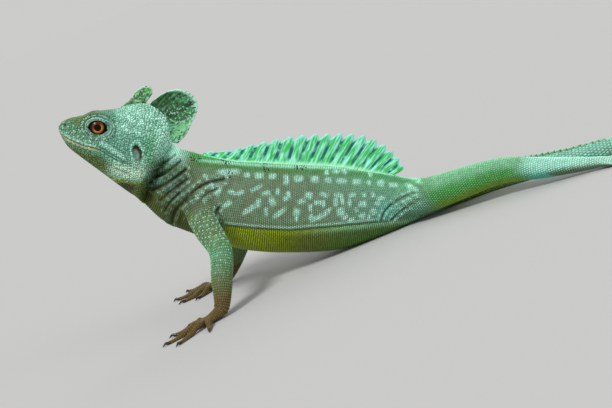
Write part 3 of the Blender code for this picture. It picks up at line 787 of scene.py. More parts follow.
def soften_joins(body, surfaces):
    """Blends each limb into the body, and the toes into the palms."""
    points = points_of(body.data)
    weight = np.zeros(len(points))
    for name in LIMBS:
        line = limb_lines(name)[0]
        near = np.nonzero(np.linalg.norm(points - line[1], axis=1) < JOIN_SPAN)[0]
        for index in near:
            spot = Vector(points[index])
            from_body = surfaces["body"].find_nearest(spot, JOIN_REACH)[3]
            from_limb = surfaces[name].find_nearest(spot, JOIN_REACH)[3]
            if from_body is not None and from_limb is not None:
                closeness = 1 - max(from_body, from_limb) / JOIN_REACH
                weight[index] = max(weight[index], closeness)
        palm = np.linalg.norm(points - line[-2], axis=1)
        weight = np.maximum(weight, 0.5 * (1 - ease(palm, *PALM_BLEND)))
    relax(body.data, ease(weight, 0.0, 0.8), JOIN_ROUNDS)


SHOULDER_FOLD = (
    (-78.2, 60.2),
    (-86.3, 61.7),
    (-94.0, 61.1),
    (-101.5, 58.0),
    (-108.0, 54.4),
    (-111.8, 49.6),
)
# Skin folds as lines of x and z along the side, each with its depth and breadth.
FOLDS = (
    (((-96.5, 81.0), (-103.0, 79.6), (-110.5, 79.8)), 0.7, 0.9),
    (((-95.2, 77.2), (-104.8, 74.7), (-113.3, 74.5)), 1.1, 1.0),
    (((-94.5, 72.2), (-104.0, 70.1), (-114.2, 68.9)), 1.2, 1.0),
    (((-95.6, 67.7), (-105.5, 65.3), (-113.1, 62.7)), 0.9, 0.9),
    (((-101.6, 62.7), (-107.5, 60.4), (-112.8, 56.7)), 0.8, 0.8),
    (SHOULDER_FOLD, 1.3, 1.1),
    (((-83.4, 57.3), (-90.1, 57.0), (-97.6, 53.8), (-103.0, 49.0)), 0.6, 0.9),
    (((-92.5, 40.5), (-92.3, 44.1), (-86.3, 47.9)), 0.9, 1.1),
    (((9.9, 17.1), (1.7, 15.9), (-7.3, 13.1), (-10.8, 9.3)), 0.7, 0.8),
    (((11.0, 13.3), (3.6, 11.2), (-5.8, 7.2)), 0.6, 0.8),
)
# The same in the head's own frame, behind the mouth and along the jaw.
FACE_FOLDS = (
    (((21.0, -2.6), (28.0, -5.6), (33.5, -8.0), (37.5, -9.4)), 0.5, 0.6),
    (((24.0, -9.6), (31.0, -12.4), (38.0, -14.2)), 0.35, 0.6),
    (((21.0, 1.2), (27.0, -0.9), (33.0, -4.0), (36.0, -7.6)), 0.35, 0.6),
)
CHEEK_RIDGE = ((21.9, -0.7), (28.0, -3.3), (33.9, -6.2))
# How high the ridge on the cheek stands, and half its breadth.
CHEEK_RIDGE_SHAPE = (0.45, 1.1)
# How far out to the side the folds go: in full up to the first, and no further than the second.
FOLDED_SIDE = (15.5, 19.5)
# Rings round the eye: their height, where one of them stands and how far apart they are, in
# sizes of the eye opening.
LID_FOLDS = 0.2
LID_FOLD_FIRST = 1.34
LID_FOLD_STEP = 0.33


def line_distance(across, up, line):
    """How far points of a plane lie from a smooth line in it."""
    line = smooth(line, np.linspace(0, len(line) - 1, 12 * (len(line) - 1) + 1))
    best = np.full(len(across), 1e9)
    for start, end in zip(line, line[1:]):
        course = end - start
        share = ((across - start[0]) * course[0] + (up - start[1]) * course[1]) / (course @ course)
        share = np.clip(share, 0, 1)
        gap = np.hypot(across - start[0] - share * course[0], up - start[1] - share * course[1])
        best = np.minimum(best, gap)
    return best


def eye_reach(along, high):
    """How far points lie from the middle of the eye, over the size of its opening."""
    east, north = along - EYE[0], high - EYE[2]
    return np.hypot(east / (EYE_OPENING[0] / 2), north / (EYE_OPENING[1] / 2))


def sculpt(body):
    """Folds of the neck, shoulder and groin, creases of the face and rings round the eyes."""
    points, normals = points_of(body.data), normals_of(body.data)
    along, high = in_head(points)
    lift = np.zeros(len(points))
    sideways = ease(np.abs(normals[:, 1]), 0.1, 0.4)
    on_side = sideways * (1 - ease(np.abs(points[:, 1]), *FOLDED_SIDE))
    for line, depth, breadth in FOLDS:
        gap = line_distance(points[:, 0], points[:, 2], line)
        furrow = 0.55 * bump(gap, 2.1 * breadth, breadth) - bump(gap, 0, breadth)
        lift += on_side * depth * furrow
    on_head = sideways * (1 - ease(along, 40, 46))
    for line, depth, breadth in FACE_FOLDS:
        gap = line_distance(along, high, line)
        furrow = 0.4 * bump(gap, 2.0 * breadth, breadth) - bump(gap, 0, breadth)
        lift += on_head * depth * furrow
    ridge, ridge_breadth = CHEEK_RIDGE_SHAPE
    lift += on_head * ridge * bump(line_distance(along, high, CHEEK_RIDGE), 0, ridge_breadth)
    rings = eye_reach(along, high)
    lids = ease(rings, 1.0, 1.12) * (1 - ease(rings, 1.75, 2.0)) * (np.abs(points[:, 1]) > 5)
    turn = 2 * math.pi * (rings - LID_FOLD_FIRST) / LID_FOLD_STEP
    lift += lids * LID_FOLDS * np.cos(turn)
    points += normals * (lift - SKIN_DEPTH)[:, None]
    points[:, 2] = np.maximum(points[:, 2], FLOOR_CLEAR)
    place_points(body.data, points)


# From where up a crest its rim is rounded, and how much of its thickness goes there.
FIN_RIM = 0.93
FIN_RIM_THIN = 0.96


def fin(name, columns, rows, place, thick):
    """A thin upright vane: place gives its middle sheet and its side, thick half its thickness."""
    bm = bmesh.new()
    bmesh.ops.create_grid(bm, x_segments=columns, y_segments=rows, size=1.0)
    bmesh.ops.triangulate(bm, faces=bm.faces)
    drawn = bmesh.ops.extrude_face_region(bm, geom=bm.faces[:])["geom"]
    other = {item for item in drawn if isinstance(item, bmesh.types.BMVert)}
    across = np.array([(vert.co.x + 1) / 2 for vert in bm.verts])
    up = np.array([(vert.co.y + 1) / 2 for vert in bm.verts])
    hand = np.array([1 if vert in other else -1 for vert in bm.verts])
    middle, side = place(across, up)
    rim = np.sqrt(1 - FIN_RIM_THIN * ramp(up, FIN_RIM, 1.0) ** 2)
    spots = middle + side * (thick(across, up) * rim * hand)[:, None]
    for vert, spot in zip(bm.verts, spots):
        vert.co = spot
    made = add(name, bm)
    store_values(made.data, "across", across)
    store_values(made.data, "up", up)
    return made


UPRIGHT = np.array((0.0, 1.0, 0.0))
BACK_LINE = smooth(TRUNK, np.linspace(0, TAIL_FIRST, 200))


def back_height(x):
    """How high the back stands at a place along it."""
    return np.interp(x, BACK_LINE[:, 0], BACK_LINE[:, 2])


def between(pair, share):
    """The way from the first of two values to the second."""
    return pair[0] * (1 - share) + pair[1] * share


def rounded_ends(across, power):
    """1 along a crest, and thinner towards both of its ends."""
    return np.sqrt(np.clip(1 - (2 * across - 1) ** power, 0.04, 1))


def front_crest_place(across, up):
    """Places of the front head crest's middle sheet, from foot to edge, and its side."""
    along = FRONT_CREST_FOOT[0] + across * (FRONT_CREST_FOOT[1] - FRONT_CREST_FOOT[0])
    tops = np.array(HEAD_STATIONS)[5:10]
    crown = np.interp(along, tops[:, 0], tops[:, 1]) - CREST_ROOT
    edge = smooth(FRONT_CREST_EDGE, across * (len(FRONT_CREST_EDGE) - 1))
    spot = np.stack([along, crown], -1) * (1 - up)[:, None] + edge * up[:, None]
    lean = FRONT_CREST_CUP * up * np.sin(math.pi * across)
    return head_point(spot[:, 0], lean, spot[:, 1]), UPRIGHT


def front_crest_thick(across, up):
    """Half the thickness of the front head crest."""
    return between(FRONT_CREST_THICK, up) * rounded_ends(across, 8)


def rear_crest_place(across, up):
    """The same for the rear head crest."""
    station = REAR_CREST_FOOT[0] + across * (REAR_CREST_FOOT[1] - REAR_CREST_FOOT[0])
    ahead = smooth(HEAD_STATIONS, station + 0.1) - smooth(HEAD_STATIONS, station - 0.1)
    normal = unit(np.stack([-ahead[:, 1], ahead[:, 0]], -1))
    foot = smooth(HEAD_STATIONS, station)[:, :2] - normal * REAR_CREST_ROOT
    edge = smooth(REAR_CREST_EDGE, across * (len(REAR_CREST_EDGE) - 1))
    spot = foot * (1 - up)[:, None] + edge * up[:, None]
    cup = REAR_CREST_CUP * np.sin(math.pi * up) * np.sin(math.pi * across)
    return head_point(spot[:, 0], cup, spot[:, 1]), UPRIGHT


def rear_crest_thick(across, up):
    """Half the thickness of the rear head crest, ribbed and thin between foot and edge."""
    ribs = REAR_CREST_RIB * np.cos(2 * math.pi * REAR_CREST_RIBS * across)
    hollow = (ribs - REAR_CREST_THIN) * np.sin(math.pi * up)
    return (between(REAR_CREST_THICK, up) + hollow) * rounded_ends(across, 10)


def ray_of(across):
    """1 on each ray of the crest on the back, 0 between them."""
    return 0.5 + 0.5 * np.cos(2 * math.pi * (across * DORSAL_RAYS - 0.5))


def dorsal_place(across, up):
    """The same for the crest on the back, notched between its rays."""
    rows = smooth(DORSAL_STATIONS, across * (len(DORSAL_STATIONS) - 1))
    base = np.stack([rows[:, 0], back_height(rows[:, 0]) - CREST_ROOT], -1)
    reach = 1 - RAY_NOTCH * (1 - ray_of(across) ** 0.8)
    spot = base + (rows[:, 1:] - base) * (up * reach)[:, None]
    lowest = back_height(spot[:, 0]) - CREST_ROOT + 0.6 * up
    return np.stack([spot[:, 0], 0 * up, np.maximum(spot[:, 1], lowest)], -1), UPRIGHT


def dorsal_thick(across, up):
    """Half the thickness of the crest on the back, with its rays as ridges."""
    plain = DORSAL_THICK[0] + (DORSAL_THICK[1] - DORSAL_THICK[0]) * up**0.6
    ridge = ray_of(across) ** 1.5
    return plain - 0.12 + RAY_SWELL * (ridge - 0.4) * np.minimum(1.0, 4 * up) * (1.15 - up)


def tail_crest_place(across, up):
    """The same for the row of teeth on the tail's root."""
    station = trunk_station(across * TAIL_TEETH * TAIL_TOOTH)
    low = smooth(TRUNK, station)
    ahead = smooth(TRUNK, station + 0.05) - low
    course = unit(np.stack([ahead[:, 0], ahead[:, 1], 0 * across], -1))
    tooth = across * TAIL_TEETH % 1.0
    fade = np.minimum(np.minimum(1.0, 3 * across), 1.4 - across)
    rise = TAIL_TOOTH_HEIGHT * fade * (0.35 + 0.65 * tooth) * up
    spot = low[:, :3] + np.stack([0 * up, 0 * up, rise - CREST_ROOT * (1 - up)], -1)
    return spot + course * (rise / 2)[:, None], np.cross(course, (0, 0, 1))


def tail_crest_thick(across, up):
    """Half the thickness of the teeth on the tail."""
    return between(TAIL_TOOTH_THICK, up)


def make_crests():
    """The four crests, each in place of its solid, with its columns and rows of faces."""
    plans = (
        ("head_crest_front", 60, 30, front_crest_place, front_crest_thick),
        ("head_crest_rear", 160, 60, rear_crest_place, rear_crest_thick),
        ("dorsal_crest", DORSAL_RAYS * 18, 36, dorsal_place, dorsal_thick),
        ("tail_crest", TAIL_TEETH * 10, 5, tail_crest_place, tail_crest_thick),
    )
    return {name: fin("skin_" + name, *plan) for name, *plan in plans}


BACK_OF_EYE = 100


def make_eye(name, hand):
    """An eyeball whose rings of faces run round the pupil."""
    bm = bmesh.new()
    bmesh.ops.create_uvsphere(bm, u_segments=72, v_segments=72, radius=EYE_RADIUS)
    away = np.array([vert.co.to_tuple() for vert in bm.verts])
    ring = np.hypot(away[:, 0], away[:, 1]) + BACK_OF_EYE * (away[:, 2] < 0)
    turn = np.arctan2(away[:, 1], away[:, 0])
    centre = head_point(EYE[0], hand * EYE[1], EYE[2])
    bm.transform(Matrix.Translation(centre) @ Matrix.Rotation(-hand * math.pi / 2, 4, "X"))
    made = add(name, bm)
    along, high = in_head(points_of(made.data))
    low = (0.6 * (along - EYE[0]) - 0.8 * (high - EYE[2])) / IRIS_RADIUS
    for key, values in (("ring", ring), ("turn", turn), ("low", low)):
        store_values(made.data, key, values)
    return made


# Where a claw leaves its toe, in numbered points of it, and its breadth and height over the toe's.
CLAW_ROOT = 2.85
CLAW_FLATTENED = (0.82, 1.0)


def make_claws(name):
    """The five claws of a hand or foot, as curved horn points."""
    bm = bmesh.new()
    for points, radii, _ in digit_lines(name):
        spots = np.linspace(CLAW_ROOT, len(points) - 1, 12)
        size = radii[:, None] * np.array([CLAW_FLATTENED])
        rings = list(tube_rings(points, size, spots, 12))
        claw = loft("claw", rings + rounded(rings[-1], 0.15, unit(points[5] - points[4])))
        bm.from_mesh(claw.data)
        bpy.data.objects.remove(claw)
    for vert in bm.verts:
        vert.co.z = max(vert.co.z, FLOOR_CLEAR)
    return add("claws_" + name, bm)


# Pale spots, as x and z on the side, half length, half height and turn in degrees.
SPOTS = (
    (-74.6, 62.6, 6.3, 1.3, 0),
    (-66.3, 57.5, 1.7, 1.1, 0),
    (-60.7, 54.7, 2.6, 1.4, 0),
    (-54.3, 51.7, 2.0, 1.3, 0),
    (-48.5, 47.3, 1.3, 2.6, 0),
    (-42.3, 45.5, 2.6, 1.4, 0),
    (-34.7, 41.9, 2.1, 1.7, 0),
    (-28.4, 38.9, 1.7, 1.2, 0),
    (-22.3, 35.8, 2.9, 1.1, 0),
    (-15.1, 32.2, 2.5, 1.4, 0),
    (-9.4, 29.3, 1.0, 1.0, 0),
    (-3.8, 26.7, 2.0, 1.4, 0),
    (1.8, 23.3, 2.6, 1.0, 0),
    (10.2, 19.1, 2.9, 0.9, -15),
    (-23.1, 41.0, 2.1, 0.7, 0),
    (-18.8, 39.4, 1.3, 1.1, 0),
    (-27.6, 42.4, 1.0, 1.0, 0),
    (-6.9, 32.4, 0.8, 1.0, 0),
    (-76.7, 52.6, 2.1, 1.0, -20),
    (-73.1, 50.8, 2.1, 1.0, 25),
    (-64.5, 49.7, 3.6, 0.8, 27),
    (-60.5, 45.3, 2.3, 1.0, 10),
    (-55.0, 43.8, 0.9, 1.6, 0),
    (-50.4, 40.3, 1.1, 1.8, 0),
    (-52.6, 39.1, 1.3, 1.1, 0),
    (-59.4, 40.5, 1.4, 2.5, 20),
    (-40.7, 35.8, 2.1, 1.7, 0),
    (-45.4, 34.6, 2.1, 1.1, 20),
    (-33.4, 33.0, 2.2, 1.0, -10),
    (-26.5, 30.0, 2.3, 0.9, 0),
    (-20.2, 27.3, 2.0, 1.0, 10),
    (-14.3, 25.0, 1.0, 1.2, 0),
    (-10.0, 23.3, 1.1, 1.2, 0),
    (-6.7, 20.0, 2.3, 1.0, 15),
    (-81.6, 48.2, 3.1, 1.2, 35),
    (-82.8, 56.0, 3.1, 1.2, 65),
    (-71.7, 41.3, 4.9, 1.2, 32),
    (-66.3, 42.6, 1.2, 2.2, 0),
    (-64.3, 37.0, 0.8, 2.1, 0),
    (-58.2, 33.6, 4.3, 1.1, 36),
    (-50.0, 30.5, 1.7, 2.1, 0),
    (-51.2, 27.6, 0.7, 1.6, 0),
    (-37.9, 30.6, 2.0, 1.1, 0),
    (-35.3, 29.2, 0.8, 1.8, 0),
    (-42.5, 29.8, 0.7, 1.9, 0),
    (-39.9, 23.8, 5.7, 1.1, 26),
    (-44.2, 25.5, 0.9, 1.7, 0),
    (-29.3, 27.5, 1.0, 2.4, 0),
    (-25.8, 26.9, 0.8, 2.3, 0),
    (-35.4, 24.5, 3.1, 1.0, 40),
    (-28.8, 21.7, 2.2, 2.2, 0),
    (-27.7, 18.5, 1.1, 1.7, -40),
    (-25.5, 15.7, 2.0, 0.9, 25),
    (-22.6, 24.4, 1.0, 1.8, 0),
    (-16.7, 21.0, 2.3, 1.4, 0),
    (-21.0, 19.5, 0.7, 1.1, 30),
    (-19.3, 15.5, 1.8, 1.4, 20),
    (-16.3, 13.5, 0.5, 1.6, 0),
    (-12.9, 15.2, 1.6, 1.6, 20),
    (-9.5, 18.2, 1.6, 0.9, 15),
    (-86.4, 65.5, 1.3, 0.8, 0),
    (-85.0, 59.6, 1.1, 1.8, 40),
    (-86.1, 43.6, 1.1, 1.9, 0),
    (-91.0, 55.8, 1.0, 1.6, 30),
    (-92.5, 60.2, 1.6, 0.8, 25),
)
# Pale glints on the folds of the neck, given in the same way.
NECK_GLINTS = (
    (-113.2, 78.1, 3.4, 1.1, 57),
    (-109.5, 71.9, 2.4, 0.8, 40),
    (-104.0, 66.5, 2.0, 0.8, 40),
)
# Clusters of black flecks, as x and z.
FLECKS = (
    (-89.0, 76.1),
    (-86.8, 74.0),
    (-74.6, 68.9),
    (-73.2, 66.5),
    (-74.3, 61.0),
    (-53.8, 60.2),
    (-56.0, 57.6),
    (-55.6, 55.8),
    (-40.5, 50.6),
    (-37.8, 49.6),
)
FLECK_RADIUS = 1.6
# The foot of the crest on the back and the fold along the belly, as lines of x and z.
CREST_LINE = (
    (-96.0, 80.5),
    (-85.6, 73.5),
    (-67.1, 63.5),
    (-48.3, 54.4),
    (-38.8, 50.2),
    (-19.9, 41.4),
    (-1.5, 31.4),
    (7.3, 25.4),
    (20.0, 17.0),
)
SIDE_FOLD = (
    (-96.0, 43.0),
    (-88.1, 40.3),
    (-73.1, 32.2),
    (-57.4, 24.4),
    (-34.6, 17.0),
    (-13.1, 10.2),
    (0.0, 5.5),
    (20.0, 3.0),
)
# Furrows and crests of the lids, in sizes of the eye opening; the furrows get painted shade.
LID_FURROWS = (1.18, 1.51, 1.84)
LID_CRESTS = (1.09, 1.34, 1.67)
TAIL_BAND = 21
MARKS = ("green", "mint", "belly", "cyan", "olive", "dark", "cream", "moss")


def level_of(line, x):
    """How high a line stands at a place along it."""
    line = np.array(line)
    return np.interp(x, line[:, 0], line[:, 1])


def spotted(x, z, rows):
    """How far points lie in any of a row of oblong spots."""
    total = np.zeros(len(x))
    for spot_x, spot_z, long, tall, turn in rows:
        near = np.nonzero(np.hypot(x - spot_x, z - spot_z) < long + tall + 1.5)[0]
        angle = math.radians(turn) - CAMERA_ROLL
        east, north = x[near] - spot_x, z[near] - spot_z
        forward = (east * math.cos(angle) + north * math.sin(angle)) / (long + 0.35)
        upward = (north * math.cos(angle) - east * math.sin(angle)) / (tall + 0.35)
        inside = 1 - ease((np.abs(forward) ** 3 + np.abs(upward) ** 3) ** 0.33, 0.45, 1.3)
        total[near] = np.maximum(total[near], inside)
    return total


def ear_reach(along, high):
    """How far points lie from the middle of the ear, over its own size."""
    east, north = along - EAR[0], high - EAR[1]
    turn = math.pi / 2 - EAR_TURN
    forward = east * math.cos(turn) + north * math.sin(turn)
    sideways = north * math.cos(turn) - east * math.sin(turn)
    return np.hypot(forward / (EAR_SIZE[1] / 2), sideways / (EAR_SIZE[0] / 2))


def mouth_gap(along, high):
    """How far points lie below the mouth."""
    return level_of(MOUTH_LINE, along) - high


def along_limb(points, name):
    """How far points are from a limb's middle line, over its size there, and where along it."""
    line, sizes, _ = limb_lines(name)
    best, where = np.full(len(points), 9.0), np.zeros(len(points))
    for index, (start, end) in enumerate(zip(line, line[1:])):
        course = end - start
        share = np.clip((points - start) @ course / (course @ course), 0, 1)
        size = sizes[index, 0] * (1 - share) + sizes[index + 1, 0] * share
        gap = np.linalg.norm(points - start - share[:, None] * course, axis=1) / size
        where = np.where(gap < best, index + share, where)
        best = np.minimum(best, gap)
    return best, where


def waves(first, second, start, end):
    """Soft blotches where two rows of waves add up."""
    return ease(np.sin(first) + np.sin(second), start, end)


class Markings:
    """How much of each marking lies at points of the skin, gathered part by part."""

    def __init__(self, points, normals):
        self.x, self.aside, self.z = points[:, 0], np.abs(points[:, 1]), points[:, 2]
        self.rising = normals[:, 2]
        self.along, self.high = in_head(points)
        self.amounts = {name: np.zeros(len(points)) for name in MARKS}
        self.head = 1 - ease(self.along - (41 + 0.416 * (self.high + 26.4)), -5.0, 7.0)
        self.grit = waves(
            self.along * 2.9 + 1.3 * np.sin(self.high * 2.2),
            self.high * 3.1 - self.along * 1.1,
            -0.2,
            1.3,
        )
        self.find_limbs(points)
        self.find_trunk()

    def add(self, name, amount):
        self.amounts[name] = np.maximum(self.amounts[name], amount)

    def find_limbs(self, points):
        """How far points belong to the fore and hind legs, and to their lower lengths."""
        self.fore, self.arm, self.low_fore, self.hind, self.low_hind = np.zeros((5, len(points)))
        self.along_fore = np.full(len(points), 9.0)
        for name in LIMBS:
            gap, where = along_limb(points, name)
            on_limb = (1 - ease(gap, 1.4, 1.8)) * ease(where, 1.1, 1.7)
            if name.startswith("fore"):
                self.fore = np.maximum(self.fore, on_limb)
                self.along_fore = np.where(on_limb > 0.05, where, self.along_fore)
                self.arm = np.maximum(self.arm, on_limb * (1 - ease(where, 2.6, 3.3)))
                self.low_fore = np.maximum(self.low_fore, on_limb * ease(where, 3.4, 5.2))
            else:
                self.hind = np.maximum(self.hind, on_limb)
                self.low_hind = np.maximum(self.low_hind, on_limb * ease(where, 3.2, 3.9))
        self.hands = (self.x < -60) * (self.z < 9.5) * (self.aside > 27)
        self.feet = (self.z < 6.5) * (self.aside > 50)

    def find_trunk(self):
        """How far points belong to neck, torso, flanks and tail, and how high up the side."""
        legs = np.maximum(self.fore, self.hind)
        self.trunk = (1 - self.head) * (1 - legs) * (1 - np.maximum(self.hands, self.feet))
        self.tail = ease(self.x, 14, 34) * self.trunk
        self.torso = self.trunk * (1 - self.tail)
        self.neck = self.trunk * (1 - ease(self.x, -100, -90))
        self.flank = self.torso * ease(self.x, -96, -84)
        self.over_back = self.z - level_of(CREST_LINE, self.x)
        self.over_fold = self.z - level_of(SIDE_FOLD, self.x)

    def mark_back_and_belly(self):
        """Green back, yellow-green belly that turns green to the rear, pale fold between, with
        painted shadow under the fold and painted shade low on the belly.
        """
        x, flank, back, fold = self.x, self.flank, self.over_back, self.over_fold
        self.add("green", flank * ease(back, -2.5, -0.2))
        self.add("green", flank * ease(back, -9.0, -1.0) * 0.45)
        self.add("green", flank * ease(x, -55, 0) * ease(back, -16, -3) * 0.45)
        self.add("mint", flank * bump(back, -0.2, 0.8) * ease(x, -92, -80) * 0.75)
        under = self.torso * ease(-fold, 0.3, 1.8) * ease(x, -104, -90)
        self.add("belly", under * (1 - 0.6 * ease(x, -64, -24)))
        self.add("green", under * ease(x, -70, -30) * 0.75)
        # Painted shade on the lower belly, towards the rear.
        self.add("dark", under * ease(x, -78, -52) * ease(-fold, 1.5, 6.0) * 0.45)
        self.add("mint", under * ease(x, -60, -20) * bump(fold, -2.6, 1.6) * 0.4)
        self.add("mint", flank * bump(fold, 0.6, 0.7) * (1 - ease(x, -16, -6)) * 0.6)
        # Painted shadow: a dark line just under the fold along the side.
        self.add("dark", flank * bump(fold, -0.9, 0.6) * (1 - ease(x, -12, -4)) * 0.75)

    def mark_flanks(self):
        """Streaked pale spots over blue-green and olive clouds."""
        x, z, flank, fold = self.x, self.z, self.flank, self.over_fold
        across = x * math.cos(CAMERA_ROLL) - z * math.sin(CAMERA_ROLL)
        upward = x * math.sin(CAMERA_ROLL) + z * math.cos(CAMERA_ROLL)
        streak = 0.85 + 0.15 * np.sin(across * 4.1 + 0.8 * np.sin(upward * 0.9))
        torn = across * 2.7 + 1.9 * np.sin(upward * 1.3)
        broken = waves(torn, upward * 2.1 - across, -1.6, 0.2)
        spotted_side = np.maximum(flank, 0.9 * self.arm * (z > 48)) * (fold > 0.5)
        spots = spotted(x, z, SPOTS) * spotted_side
        self.add("mint", spots * streak * (0.6 + 0.4 * broken))
        self.add("mint", flank * ease(fold, 1.0, 4.0) * (1 - ease(self.over_back, -6, -2)) * 0.12)
        self.add("cyan", flank * ease(x, -50, 0) * 0.4)
        clouds = waves(x * 0.33 + 1.1 * np.sin(z * 0.21), z * 0.37 - x * 0.15, 0.2, 1.4)
        self.add("olive", flank * clouds * (1 - ease(x, -40, -15)) * 0.3)
        groin = bump(np.hypot(x + 6, (z - 13) * 1.2), 0, 9.0) * flank
        self.add("cyan", groin * 0.9)

    def mark_neck(self):
        """Mossy neck, with painted shade below and in the furrows between pale rippled folds,
        whose ridges are partly painted highlight.
        """
        x, z, neck = self.x, self.z, self.neck
        self.add("moss", neck * ease(np.sin(x * 0.9 + z * 1.3), -0.6, 0.8) * 0.8)
        self.add("green", neck * ease(z, 66, 84) * 0.6)
        # Painted shade on the lower neck and chest.
        self.add("dark", neck * (1 - ease(z, 74, 84)) * 0.52)
        throat = self.high + 0.35 * self.along
        # Painted shade under the throat.
        self.add("dark", neck * (1 - ease(throat, -8, 2)) * 0.75)
        self.add("belly", neck * (1 - ease(throat, -10, 0)) * 0.85)
        on_side = (self.aside < FOLDED_SIDE[1]) * (1 - self.head)
        ripple = waves(x * 1.6 + z * 1.1, x * 0.7 - z * 2.3, -0.8, 0.9)
        for line, depth, breadth in FOLDS:
            gap = line_distance(x, z, line)
            # Painted shade in the furrow of each fold on the side, on neck, shoulder and groin.
            self.add("dark", on_side * bump(gap, 0, 0.62 * breadth) * min(1.0, depth) * 0.95)
            # Pale ripples on the fold ridges: partly pale scale rows, partly painted highlight.
            self.add("mint", on_side * bump(gap, 1.9 * breadth, 0.8) * ripple * 0.75)
        glint = spotted(x, z, NECK_GLINTS)
        self.add("cyan", glint)
        self.add("mint", glint * 0.5)

    def mark_face(self):
        """Blue-green face with a mossy snout, pale cheek ridge, painted shade in the creases and
        low on the jaw, and pale lips.
        """
        along, high, head = self.along, self.high, self.head
        below_mouth = mouth_gap(along, high)
        self.add("cyan", head * (0.5 + 0.1 * ease(along, 18, 30)))
        self.add("mint", head * ease(along, 22, 30) * self.grit * 0.3)
        self.add("moss", head * (1 - ease(along, 10, 30)) * 0.4)
        self.add("moss", head * (1 - ease(along, 12, 24)) * ease(high, 4.0, 8.0) * 0.9)
        nose = np.hypot((along - 10.5) / 3.2, (high - 6.5) / 3.6)
        self.add("moss", head * bump(nose, 0, 1.0) * 0.9)
        cells = waves(along * 2.1 + np.sin(high * 1.7), high * 2.3 - along * 0.6, 0.2, 1.2)
        snout = head * (1 - ease(along, 16, 26)) * ease(-below_mouth, 0.5, 2.0)
        self.add("mint", snout * (1 - ease(high, 5, 9)) * cells * 0.45)
        ridge = line_distance(along, high, CHEEK_RIDGE)
        self.add("mint", head * bump(ridge, 0, 1.4) * 0.85)
        # Painted shade in the creases behind the mouth and along the jaw.
        for line, _, breadth in FACE_FOLDS:
            gap = line_distance(along, high, line)
            self.add("dark", head * bump(gap, 0, 0.5 * breadth) * 0.6)
        jaw = head * (1 - ease(along, 20, 36))
        self.add("moss", jaw * ease(below_mouth, 1.5, 4.0) * 0.85)
        self.add("belly", jaw * ease(below_mouth, 3.0, 7.0) * 0.35)
        # Painted shade, darker lower down the front of the jaw.
        self.add("dark", head * (1 - ease(along, 20, 34)) * ease(below_mouth, 2.5, 6.0) * 0.5)
        on_lip = head * (1 - ease(along, 15, 27)) * (self.aside < 13)
        self.add("cream", on_lip * bump(-below_mouth, -0.45, 0.5) * 0.95)
        self.add("mint", on_lip * bump(-below_mouth, 1.3, 0.8) * 0.45)

    def mark_throat_and_crown(self):
        """Pale band along the throat, yellow-green below it darkened by painted shade, and a pale
        crown with a green net.
        """
        along, high, head = self.along, self.high, self.head
        self.add("green", head * ease(along, 40, 50) * 0.5)
        throat = head * ease(along, 24, 31) * bump(high, -13.8, 4.6) * ease(high, -18.8, -16.6)
        self.add("cream", throat * 0.3)
        self.add("mint", throat * 0.85)
        self.add("belly", ease(along, 22, 32) * ease(-high, 16.5, 19.5) * head * 0.9)
        # Painted shade: olive and dark deepen the yellow-green under the throat.
        self.add("olive", ease(along, 22, 32) * ease(-high, 17, 20) * head * 0.6)
        self.add("dark", ease(along, 26, 36) * ease(-high, 17.8, 21.0) * head * 0.9)
        crown = head * ease(along, 24, 32) * ease(high, 3, 8)
        bent = along * 1.15 + 1.7 * np.sin(high * 0.9)
        blotch = waves(bent, high * 1.25 + along * 0.3, 0.1, 0.9)
        self.add("mint", crown * (0.4 + 0.6 * blotch))
        self.add("mint", crown * ease(high, 9, 15) * (0.6 + 0.4 * blotch))
        net = waves(along * 1.5 - 1.2 * np.sin(high * 1.1), high * 1.6 + along * 0.4, 0.3, 1.3)
        self.add("green", crown * net * 0.55)
        self.add("green", crown * ease(high, 17, 20) * 0.8)
        nape = ease(along, 46, 52) * (1 - ease(along, 60, 70))
        self.add("mint", nape * ease(high, -10, -4) * 0.95)

    def mark_eye_and_ear(self):
        """A pale drum in an ear with painted shade and a pale rim, painted shade in the eye
        opening and its corners, and ringed lids.
        """
        along, high, head = self.along, self.high, self.head
        ear = ear_reach(along, high)
        drum = ear_reach(along + 0.6, high + 0.9)
        in_ear = head * (1 - ease(ear, 0.85, 1.02))
        # Painted shade round the drum, at the edge of the ear hollow.
        self.add("dark", in_ear * ease(drum, 0.7, 0.95) * 0.75)
        self.add("olive", in_ear * ease(drum, 0.4, 0.7))
        self.add("mint", head * (1 - ease(drum, 0.45, 0.7)) * 0.95)
        self.add("mint", head * bump(ear, 1.35, 0.2) * 0.7)
        eye = eye_reach(along, high)
        # Painted shade in the eye opening, under the lids' edge.
        self.add("dark", head * (1 - ease(eye, 0.94, 1.04)) * 0.9)
        # Painted shade in the hollows at the corners of the eye.
        below = (high - EYE[2] + EYE_CORNERS_DROP) / 1.3
        corner = np.hypot((along - EYE[0]) / EYE_CORNERS[0], below)
        self.add("dark", head * (1 - ease(corner, 0.85, 1.05)) * 0.9)
        # Painted shade in the furrows between the lid rings.
        for ring in LID_FURROWS:
            self.add("dark", head * bump(eye, ring, 0.055) * 0.75)
        for ring in LID_CRESTS:
            self.add("mint", head * bump(eye, ring, 0.1) * 0.6)

    def mark_legs(self):
        """Mossy arms, green thighs, blue-green shanks, olive hands and feet, with painted shade at
        the arms' roots and painted highlight on the legs' upper sides.
        """
        z, fore, arm, rising = self.z, self.fore, self.arm, self.rising
        self.add("moss", arm * 0.6)
        self.add("mint", arm * self.grit * 0.5)
        self.add("green", fore * bump(z, 30, 7) * 0.3)
        self.add("cyan", fore * bump(z, 28, 8) * 0.35)
        self.add("mint", fore * bump(z, 30, 10) * self.grit * 0.35)
